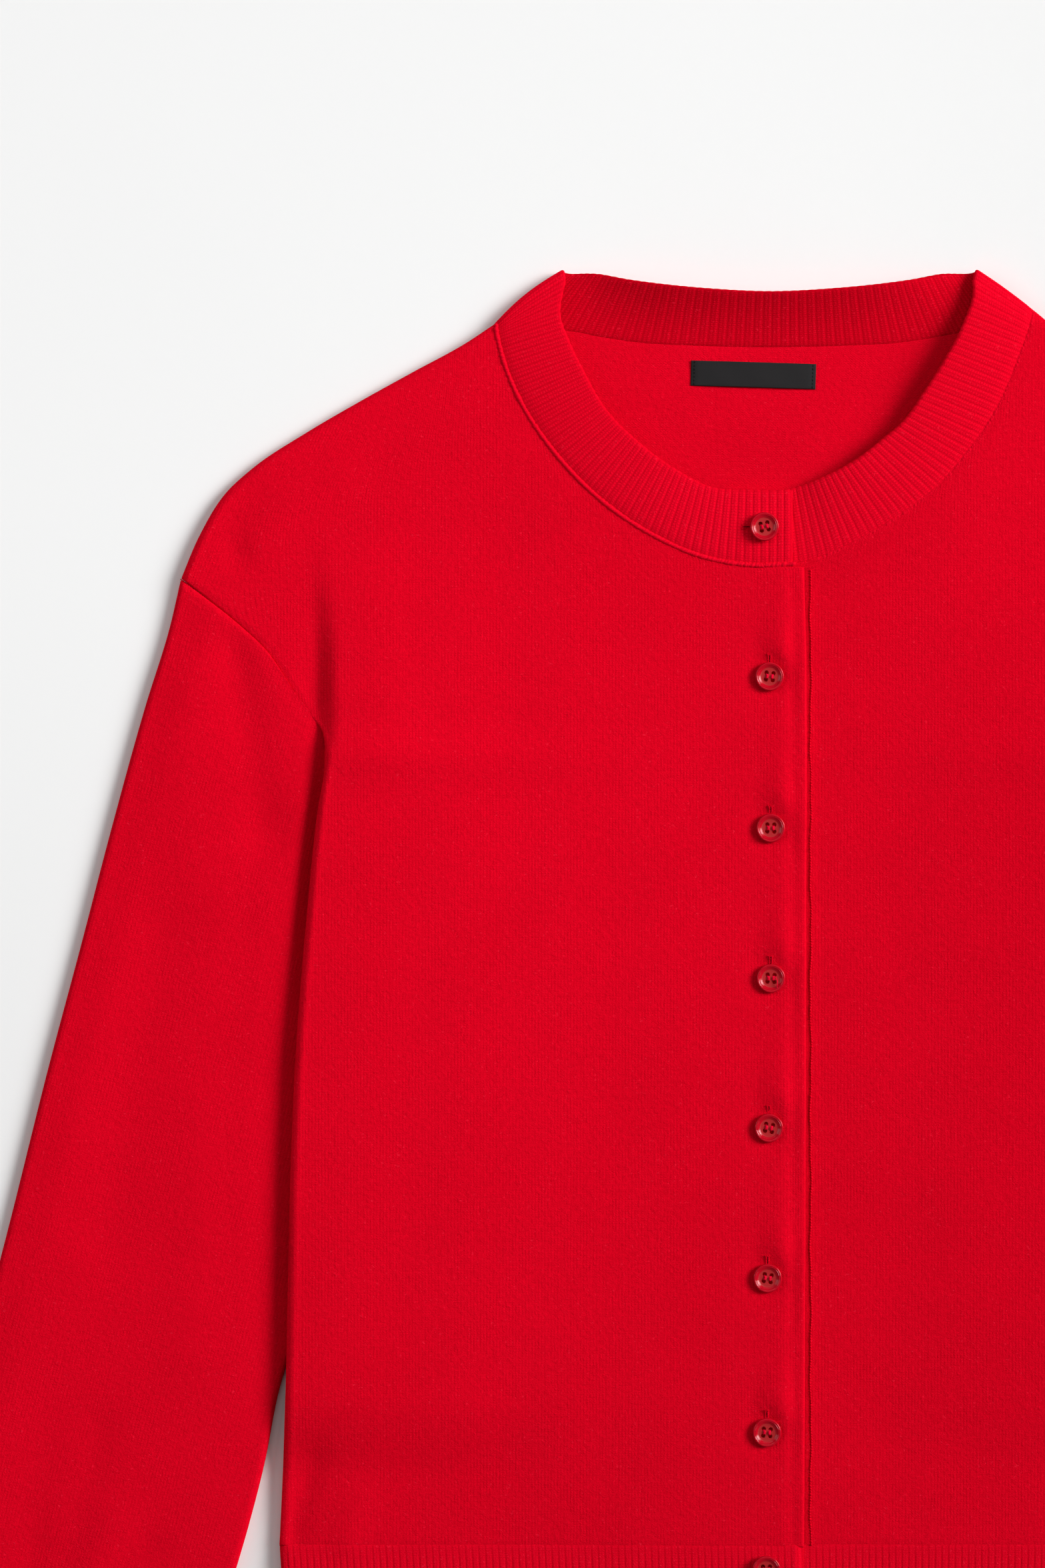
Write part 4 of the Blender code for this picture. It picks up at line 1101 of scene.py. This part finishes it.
# spacing, length and width in millimetres, and the lean in degrees
LINKED, OVERCAST = (1.0, 2.9, 2.1, 27.0), (1.3, 1.5, 0.7, 20.0)
SIDE_STITCH, EDGE_STITCH = (1.3, 1.6, 0.9, 0.0), (1.25, 1.35, 0.95, 14.0)
LABEL_STITCH, BUTTONHOLE_STITCH = (1.5, 1.1, 0.42, 8.0), (0.55, 0.45, 0.95, 0.0)


def stitched(name, paths, stitch, material):
    """One object of stitches along one or more paths of points in metres."""
    spacing, length, width, lean = stitch
    mesh = bpy.data.meshes.new(name)
    points, edges = [], []
    for row in paths:
        edges += [(len(points) + step, len(points) + step + 1) for step in range(len(row) - 1)]
        points += [tuple(place) for place in row]
    mesh.from_pydata(points, edges, [])
    piece = new_object(name, mesh)
    run_tree(piece, seams, seam_inputs, {"Spacing": spacing * MM, "Length": length * MM, "Width": width * MM,
                                         "Lean": math.radians(lean), "Material": material})
    return piece


def thread_finish(name, low, high):
    """A dull thread or yarn between two colours."""
    finish = Finish(name, Roughness=0.9, Specular_IOR_Level=0.0)
    tone = finish.noise(0.0006, 2.0) * 1.4 - 0.2
    finish.feed("Base Color", finish.blend(tone.within(0.0, 1.0), low, high))
    finish.relief(finish.noise(0.0003, 2.0), 0.00015)
    return finish.material


linking_wool = thread_finish("wool linking yarn", (0.60, 0.0008, 0.011, 1), (0.86, 0.003, 0.024, 1))
print("the stitch tree takes", list(seam_inputs))

# %% Sew the seams
def band_seam_path(rows, inset, height):
    """A path along the neckband's seam edge, a little inside it."""
    free, seam = rows[:, 0:3], rows[:, 3:6]
    place = seam + unit(free - seam) * inset
    return world(LEFT, place[:, :2], place[:, 2] + height)


neck_paths = [band_seam_path(right, 0.7, RIB_WALL - 0.35), band_seam_path(left, 0.2, RIB_WALL - 0.95)]
neck_seam = stitched("cardigan_neck_seam", neck_paths, LINKED, linking_wool)

armhole_paths, side_paths = [], []
for side, _ in SIDES:
    row = curve(ARMHOLE)(np.linspace(0.04, 0.998, 80)) + np.array((0.25, -0.25))
    armhole_paths.append(world(side, row, front_height(side, row[None])[0] + WALL / 2 - 1.0))
    row = curve(SIDE[:-1])(np.linspace(0.0, 0.97, 260)) - np.array((0.5, 0.0))
    side_paths.append(world(side, row, tuck(row) + WALL + 0.1))
    row = curve(shoulder(side))(np.linspace(0.03, 0.97, 90)) - np.array((0.3, 0.5))
    side_paths.append(world(side, row, WALL + 0.1))
armhole_seams = stitched("cardigan_armhole_seams", armhole_paths, OVERCAST, linking_wool)
side_seams = stitched("cardigan_side_seams", side_paths, SIDE_STITCH, linking_wool)

up = np.linspace(HEM_TOP + 1.0, 461.0, 220)
row = np.stack((18.5 + 0.25 * np.sin(up * 0.11) + 0.15 * np.sin(up * 0.31), up), axis=-1)
placket_paths = [world(LEFT, row, front_height(LEFT, row[None])[0] + WALL / 2)]
placket_seam = stitched("cardigan_placket_seam", placket_paths, EDGE_STITCH, linking_wool)
print("stitches:", sum(triangles(piece) for piece in (neck_seam, armhole_seams, side_seams, placket_seam)), "triangles")

# %% [markdown]
# ## The label
# A plain black woven tape is sewn inside the neck by its short ends. It is a thin cloth that bulges a little between
# the two rows of stitches. It is left bare.

# %% Sew in the label
WARP, WEFT = 0.42, 0.36  # the tape's threads, in millimetres


def tape_finish():
    """Black tape, woven so finely that it looks like soft cloth."""
    finish = Finish("black woven tape", Specular_IOR_Level=0.25)
    across, along = finish.knit()
    threads = (across * (2 * math.pi / WARP)).maths("SINE") * (along * (2 * math.pi / WEFT)).maths("SINE")
    weave = 0.5 + threads * 0.5
    fluff = finish.noise(0.0008, 3.0)
    colour = finish.blend(weave * 0.5 + fluff * 0.5, (0.004, 0.004, 0.0045, 1), (0.017, 0.015, 0.016, 1))
    finish.feed("Base Color", colour)
    finish.feed("Roughness", 0.62 + fluff * 0.25)
    finish.relief(weave * 0.6 + fluff * 0.4, 0.0001)
    return finish.material


def on_label(across, along):
    """A plan point on the label from millimetres along its length and width."""
    cos, sin = math.cos(LABEL_TURN), math.sin(LABEL_TURN)
    return np.stack((across, along), axis=-1) @ np.array(((cos, sin), (-sin, cos))) + np.array(LABEL_PLACE)


length, width, thick = LABEL_SIZE
label_middle = WALL + LAYER_GAP + thick / 2
across, along = np.meshgrid(np.linspace(-length / 2, length / 2, 60), np.linspace(-width / 2, width / 2, 14))
bulge = 0.45 * np.cos(math.pi * across / length) + 0.12 * np.sin(across * 0.31 + 0.6) * np.cos(along * 0.35)
ends = 0.25 * ease(length / 2 - 2.6, length / 2 - 1.4, np.abs(across))
tape = tape_finish()
label = cloth("cardigan_label", world(LEFT, on_label(across, along), label_middle + bulge - ends), 0.8, (tape,),
              knit=knit_place(np.stack((across, along), axis=-1)))
along = np.linspace(-width / 2 + 0.8, width / 2 - 0.8, 8)
label_rows = [world(LEFT, on_label(np.full_like(along, end * (length / 2 - 1.5)), along), label_middle + 0.3)
              for end in (-1, 1)]
black_thread = thread_finish("black sewing thread", (0.003, 0.003, 0.003, 1), (0.02, 0.018, 0.018, 1))
label_stitches = stitched("cardigan_label_stitches", label_rows, LABEL_STITCH, black_thread)
print("label:", LABEL_SIZE[:2], "mm, bare")

# %% [markdown]
# ## The buttons
# Each button is turned on a lathe: a flat matt middle, a step, and a polished round rim. Four holes are bored through
# it. The profile is spun into rings of points, and a Boolean takes the holes out, just as a drill would. It is made
# once, and every button is a copy at its own place and turn.

# %% Turn and drill a button
# radius, height: from the middle of the top over the rim to the middle of the underside
BUTTON_PROFILE = ((0.0, 1.95), (2.0, 1.95), (3.7, 1.97), (4.05, 2.02), (4.2, 2.2), (4.55, 2.34), (4.95, 2.55),
                  (5.12, 2.78), (5.24, 2.84), (5.36, 2.76), (5.5, 2.84), (5.8, 2.98), (6.1, 2.92), (6.34, 2.68),
                  (6.47, 2.3), (6.5, 1.95), (6.38, 1.5), (6.0, 1.0), (5.4, 0.5), (4.6, 0.2), (3.0, 0.05), (0.0, 0.0))
DRILL_PROFILE = ((0.0, 5.0), (1.15, 5.0), (1.1, 2.05), (0.92, 1.75), (0.9, -1.0), (0.0, -1.0))
HOLE_OUT = 2.2


def lathe(profile, sides, centre=(0.0, 0.0)):
    """Points in metres and faces of a closed shape spun from radii and heights in millimetres."""
    angles = np.linspace(0, 2 * math.pi, sides, endpoint=False)
    points = [(0.0, 0.0, profile[0][1])]
    for radius, height in profile[1:-1]:
        points += [(radius * math.cos(angle), radius * math.sin(angle), height) for angle in angles]
    points.append((0.0, 0.0, profile[-1][1]))
    points = (np.array(points) + (*centre, 0.0)) * MM
    faces = [(0, 1 + side, 1 + (side + 1) % sides) for side in range(sides)]
    for ring in range(len(profile) - 3):
        for side in range(sides):
            a, b = 1 + ring * sides + side, 1 + ring * sides + (side + 1) % sides
            faces.append((a, a + sides, b + sides, b))
    start = 1 + (len(profile) - 3) * sides
    faces += [(start + side, len(points) - 1, start + (side + 1) % sides) for side in range(sides)]
    return points, faces


def plain_object(name, points, faces):
    """An object in the scene from points in metres and faces."""
    mesh = bpy.data.meshes.new(name)
    mesh.from_pydata(np.asarray(points).tolist(), [], faces)
    return new_object(name, mesh)


def together(parts):
    """Several lots of points and faces as one lot."""
    points, faces, count = [], [], 0
    for more, more_faces in parts:
        faces += [tuple(corner + count for corner in face) for face in more_faces]
        points.append(more)
        count += len(more)
    return np.concatenate(points), faces


def hole(quarter):
    """Where one of the four holes is, in millimetres from the button's middle."""
    angle = quarter * math.pi / 2
    return np.array((math.cos(angle), math.sin(angle), 0)) * HOLE_OUT


def drilled_button():
    blank = plain_object("button blank", *lathe(BUTTON_PROFILE, 64))
    drill = plain_object("drill", *together([lathe(DRILL_PROFILE, 20, hole(quarter)[:2]) for quarter in range(4)]))
    cut = blank.modifiers.new("holes", "BOOLEAN")
    cut.operation, cut.object, cut.solver = "DIFFERENCE", drill, "EXACT"
    mesh = settled(blank)
    for thing in (blank, drill):
        bpy.data.objects.remove(thing)
    return mesh


pattern_button = drilled_button()
corners = np.empty(len(pattern_button.vertices) * 3)
pattern_button.vertices.foreach_get("co", corners)
corners = corners.reshape(-1, 3)
print("button:", len(pattern_button.polygons), "faces,", np.round(np.ptp(corners, axis=0) * 1000, 1), "mm")

# %% [markdown]
# ## Button finish and thread
# The buttons are cast resin, dark red right through. The rim is polished and the middle is dull. The distance from
# the button's middle is stored on its points, so the finish knows where the dull part ends. Two bundles of red
# thread run over each button, each from one hole to the next.

# %% Sew on the buttons
BUTTON_TOP, DULL_TO = 1.95, 4.0  # the height of a button's middle, and where its dull part ends
BUTTON_OVER_RIB = 0.9  # how high a button stands over the rib's plain depth
LANES = ((-0.32, 0.16), (0.28, 0.2), (0.0, 0.34))  # each thread of a bundle: beside its line, and over its ends
UPWARDS = np.array((0, 0, 1.0))


def resin_finish():
    """Dark red resin, dull in the middle and polished on the rim."""
    finish = Finish("button resin", IOR=1.4, Specular_IOR_Level=0.3)
    rim = ((finish.mark("from_middle") - DULL_TO) * 5).within(0.0, 1.0)
    cloud = finish.noise(0.003, 3.0)
    fine = finish.noise(0.0004, 2.0)
    dull = finish.blend(cloud, (0.36, 0.011, 0.014, 1), (0.45, 0.016, 0.020, 1))
    polished = finish.blend(cloud, (0.42, 0.001, 0.009, 1), (0.52, 0.0018, 0.015, 1))
    finish.feed("Base Color", finish.blend(rim, dull, polished))
    finish.feed("Roughness", 0.50 - rim * 0.38 + (fine - 0.5) * 0.08)
    finish.relief(fine * (1 - rim), 0.00004)
    return finish.material


def button_ground(up):
    """The height of the cloth under a button: neckband, hem rib or jersey."""
    level = WALL + LAYER_GAP + PLACKET_AIR[RIGHT]
    if up > FRONT_EDGE[RIGHT][-1][1]:
        return BAND[RIGHT][0][2] + RIB_WALL + BUTTON_OVER_RIB
    return level + RIB_WALL + BUTTON_OVER_RIB if up < HEM_TOP else level + WALL - DISH


def strand(route, radius, sides=6):
    """Points and faces of a round strand along a route of points in millimetres, with closed ends."""
    route = np.array(route, float)
    tangent = unit(np.gradient(route, axis=0))
    beside = unit(np.cross(tangent, (0.0, 0.0, 1.0)) + (1e-9, 0, 0))
    above = np.cross(beside, tangent)
    angles = np.linspace(0, 2 * math.pi, sides, endpoint=False)[:, None]
    rings = route[:, None] + radius * (np.cos(angles) * beside[:, None] + np.sin(angles) * above[:, None])
    index = np.arange(len(route) * sides).reshape(len(route), sides)
    faces = quads_of(np.concatenate((index, index[:, :1]), axis=1)).tolist()
    return rings.reshape(-1, 3), faces + [index[0].tolist(), index[-1, ::-1].tolist()]


def gather(name, parts, finish):
    """One smooth object from several lots of points in millimetres and faces."""
    points, faces = together(parts)
    piece = plain_object(name, points * MM, faces)
    piece.data.materials.append(finish)
    piece.data.shade_smooth()
    return piece


def bundle(first, second):
    """The routes of three threads from one hole over the button's middle part to another hole."""
    start, end = hole(first), hole(second)
    beside = unit(np.cross(end - start, UPWARDS))
    inwards = -unit(start + end) * 0.5
    t = np.linspace(0, 1, 14)[:, None]
    bow = np.sin(math.pi * t)
    for lane, rise in LANES:
        height = BUTTON_TOP + 0.16 + rise * bow - 2.4 * ease(0.26, 0.02, np.minimum(t, 1 - t))
        yield start + (end - start) * (0.5 + (t - 0.5) * 0.86) + (beside * lane + inwards * bow) + UPWARDS * height


resin = resin_finish()
thread = thread_finish("red sewing thread", (0.66, 0.0009, 0.016, 1), (0.95, 0.006, 0.05, 1))
from_middle = (np.linalg.norm(corners[:, :2], axis=1) * 1000).astype(np.float32)
button_pieces, thread_parts = [], []
for number, (x, up, turn) in enumerate(BUTTONS, start=1):
    cos, sin = math.cos(math.radians(turn)), math.sin(math.radians(turn))
    spin = np.array(((cos, sin, 0), (-sin, cos, 0), (0, 0, 1)))
    centre = np.array((x, up - ORIGIN_UP, button_ground(up) - 0.2))
    mesh = pattern_button.copy()
    mesh.attributes.new("from_middle", "FLOAT", "POINT").data.foreach_set("value", from_middle)
    mesh.vertices.foreach_set("co", (corners @ spin + centre * MM).ravel())
    mesh.materials.clear()
    mesh.materials.append(resin)
    mesh.shade_smooth()
    mesh.set_sharp_from_angle(angle=math.radians(50))
    button_pieces.append(new_object(f"cardigan_button_{number}", mesh))
    thread_parts += [strand(route @ spin + centre, 0.25) for pair in ((0, 3), (1, 2)) for route in bundle(*pair)]

# one loose end of thread, at the fourth button
x, up, _ = BUTTONS[3]
t = np.linspace(0, 1, 16)[:, None]
tail = np.concatenate((x + 2.0 + 1.2 * t + 0.35 * np.sin(5 * t), up - ORIGIN_UP + 0.8 - 5.6 * t,
                       button_ground(up) + 2.25 + 0.75 * np.sin(math.pi * t)), axis=1)
thread_parts.append(strand(tail, 0.2))
button_threads = gather("cardigan_button_threads", thread_parts, thread)
print("buttons:", len(button_pieces), "of", triangles(button_pieces[0]), "triangles")

# %% [markdown]
# ## The buttonholes
# A buttonhole is a slit with close stitches along both lips and a bar across its end, and a very dark strand in the
# slit is painted shade. Only the end that peeps out from under its button shows. The first one, in the neckband, runs
# across, and the others run up and down.

# %% Work the buttonholes
lip_paths, slit_shade_parts = [], []
for number, (x, up, _) in enumerate(BUTTONS[:7]):
    reach, step = (9.6, np.array((0.0, 1.0))) if number else (9.4, np.array((-1.0, 0.0)))
    beside = np.array((step[1], -step[0]))
    places = np.array((x, up)) + np.linspace(3.0, reach, 12)[:, None] * step
    if number:
        tops = np.array([front_height(RIGHT, place[None, None] * FLIP)[0, 0] for place in places]) + WALL / 2
    else:
        tops = np.full(12, button_ground(up) - 0.25)
    for lane in (-0.52, 0.52):
        lip_paths.append(world(LEFT, places + beside * lane, tops + 0.02))
    bar = places[-1] + step * 0.3 + beside * np.linspace(-1, 1, 6)[:, None] * 0.9
    lip_paths.append(world(LEFT, bar, tops[-1]))
    # The slit is a very dark strand, painted shade inside the slit.
    slit_shade_parts.append(strand(world(LEFT, places, tops - 0.02) / MM, 0.22, 8))
buttonholes = stitched("cardigan_buttonholes", lip_paths, BUTTONHOLE_STITCH, linking_wool)
# Nearly black wool: painted shade inside each slit.
painted_slit_shade = thread_finish("wool in a slit", (0.05, 0.0002, 0.001, 1), (0.09, 0.0003, 0.002, 1))
slit_shade_strands = gather("cardigan_buttonhole_slit_shade", slit_shade_parts, painted_slit_shade)
print("buttonholes:", len(slit_shade_parts), "in", triangles(buttonholes), "triangles")

# %% [markdown]
# ## The table, the light and the camera
# The cardigan lies on a plain pale table. A large soft light stands low on the right, so that every fold throws a
# soft shadow to the left. A weaker light behind the neck picks out the edges that face it, a weak one far off on the
# left opens the shadows a little, and a pale sky fills in the rest. The camera looks straight down through a long
# lens, so that the cardigan is drawn like a plan.

# %% Light and look
TABLE_HALF, TABLE_DOWN = 4.0, -0.0002
table_finish = Finish("pale table", Roughness=0.9, Specular_IOR_Level=0.0)
table_colour = table_finish.blend(table_finish.noise(0.25, 2.0), (0.865, 0.865, 0.863, 1), (0.895, 0.895, 0.892, 1))
table_finish.feed("Base Color", table_colour)
table = plain_object("table", [(TABLE_HALF * x, TABLE_HALF * y, TABLE_DOWN) for x, y in
                               ((-1, -1), (1, -1), (1, 1), (-1, 1))], [(0, 1, 2, 3)])
table.data.materials.append(table_finish.material)

sky = bpy.data.worlds.new("pale room")
sky.use_nodes = True
sky.node_tree.nodes["Background"].inputs["Color"].default_value = (1.0, 1.0, 1.0, 1)
sky.node_tree.nodes["Background"].inputs["Strength"].default_value = 0.12
bpy.context.scene.world = sky


def lamp(name, power, **shape):
    """An area light, as an object in the scene."""
    light = bpy.data.lights.new(name, "AREA")
    light.energy = power
    for setting, value in shape.items():
        setattr(light, setting, value)
    return new_object(name, light)


def softbox(name, place, towards, size, power):
    """A rectangle of light at one place in metres that faces another."""
    light = lamp(name, power, shape="RECTANGLE", size=size[0], size_y=size[1])
    gap = bpy.context.scene.cursor.location.copy()
    gap.xyz = [there - here for here, there in zip(place, towards)]
    light.location = place
    light.rotation_euler = gap.to_track_quat("-Z", "Y").to_euler()


softbox("top light", (-0.10, 0.98, 1.35), (-0.10, 0.05, 0.0), (1.6, 0.5), 4.0)
softbox("fill light", (-2.60, 0.70, 1.65), (-0.10, 0.10, 0.0), (1.6, 1.6), 17.0)
KEY_HEIGHT, KEY_TURN, KEY_AWAY, KEY_AIM = math.radians(31.0), math.radians(17.0), 3.5, (-0.20, 0.25, 0.0)
level = math.cos(KEY_HEIGHT) * KEY_AWAY
key = lamp("key light", 18.3, shape="DISK", size=2.27, spread=math.radians(42.0))
key.location = (KEY_AIM[0] + level * math.cos(KEY_TURN), KEY_AIM[1] + level * math.sin(KEY_TURN),
                math.sin(KEY_HEIGHT) * KEY_AWAY)
key.rotation_euler = (0.0, math.pi / 2 - KEY_HEIGHT, KEY_TURN)

LENS, SENSOR, FRAME_HEIGHT, CENTRE = 100.0, 36.0, 0.7056, (-0.1113, 0.1095)
lens = bpy.data.cameras.new("camera")
lens.lens = LENS
camera = new_object("camera", lens)
camera.location = (*CENTRE, FRAME_HEIGHT * LENS / SENSOR + 0.006)
bpy.context.scene.camera = camera
bpy.context.scene.view_settings.view_transform = "Standard"
print("camera:", round(camera.location.z, 3), "m above the table")

# %% [markdown]
# ## Which piece stands for which solid
# Every piece rides on the one body, and the cloth ones replace their plain solid. The flat areas of the back and of
# a sleeve, all round its tube, are worked out and printed.

def flat_area(plan):
    """The area in square metres of a lattice of plan points in millimetres."""
    across, along = plan[:-1, 1:] - plan[:-1, :-1], plan[1:, :-1] - plan[:-1, :-1]
    return float(np.abs(across[..., 0] * along[..., 1] - across[..., 1] * along[..., 0]).sum()) * MM * MM


def small(piece, node=None):
    """Rides a piece that isn't cut from cloth on the body, and hides the solid that it replaces, if any."""
    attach(piece, "root")
    if node:
        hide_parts(node)


def knitted(piece, node):
    """Rides a piece of cloth on the body, and hides the solid that it replaces."""
    small(piece, node)


back_area = flat_area(back_plan())
knitted(back, "back")
knitted(hem_back, "hem_rib_back")
sleeve_area = 2 * flat_area(sleeve_plan()(*np.meshgrid(np.linspace(0, 1, 20), np.linspace(0, 1, 40))))
for side, word in SIDES:
    area = flat_area(front_plan(side))
    knitted(fronts[side], f"front_{word}")
    knitted(hems[side], f"hem_rib_front_{word}")
    knitted(sleeves[side], f"sleeve_{word}")
    knitted(cuffs[side], f"cuff_{word}")
knitted(neckband, "neckband")
knitted(label, "neck_label")
for piece, slot in ((neck_seam, "rib_knit"), (armhole_seams, "jersey"), (side_seams, "jersey"),
                    (placket_seam, "jersey"), (label_stitches, "label_cloth"), (button_threads, "button_gloss"),
                    (buttonholes, "jersey"), (slit_shade_strands, "jersey")):
    small(piece)
for number, piece in enumerate(button_pieces, start=1):
    small(piece, f"button_{number}")
print("flat areas in square metres: back", round(back_area, 3), "and each sleeve", round(sleeve_area, 3))
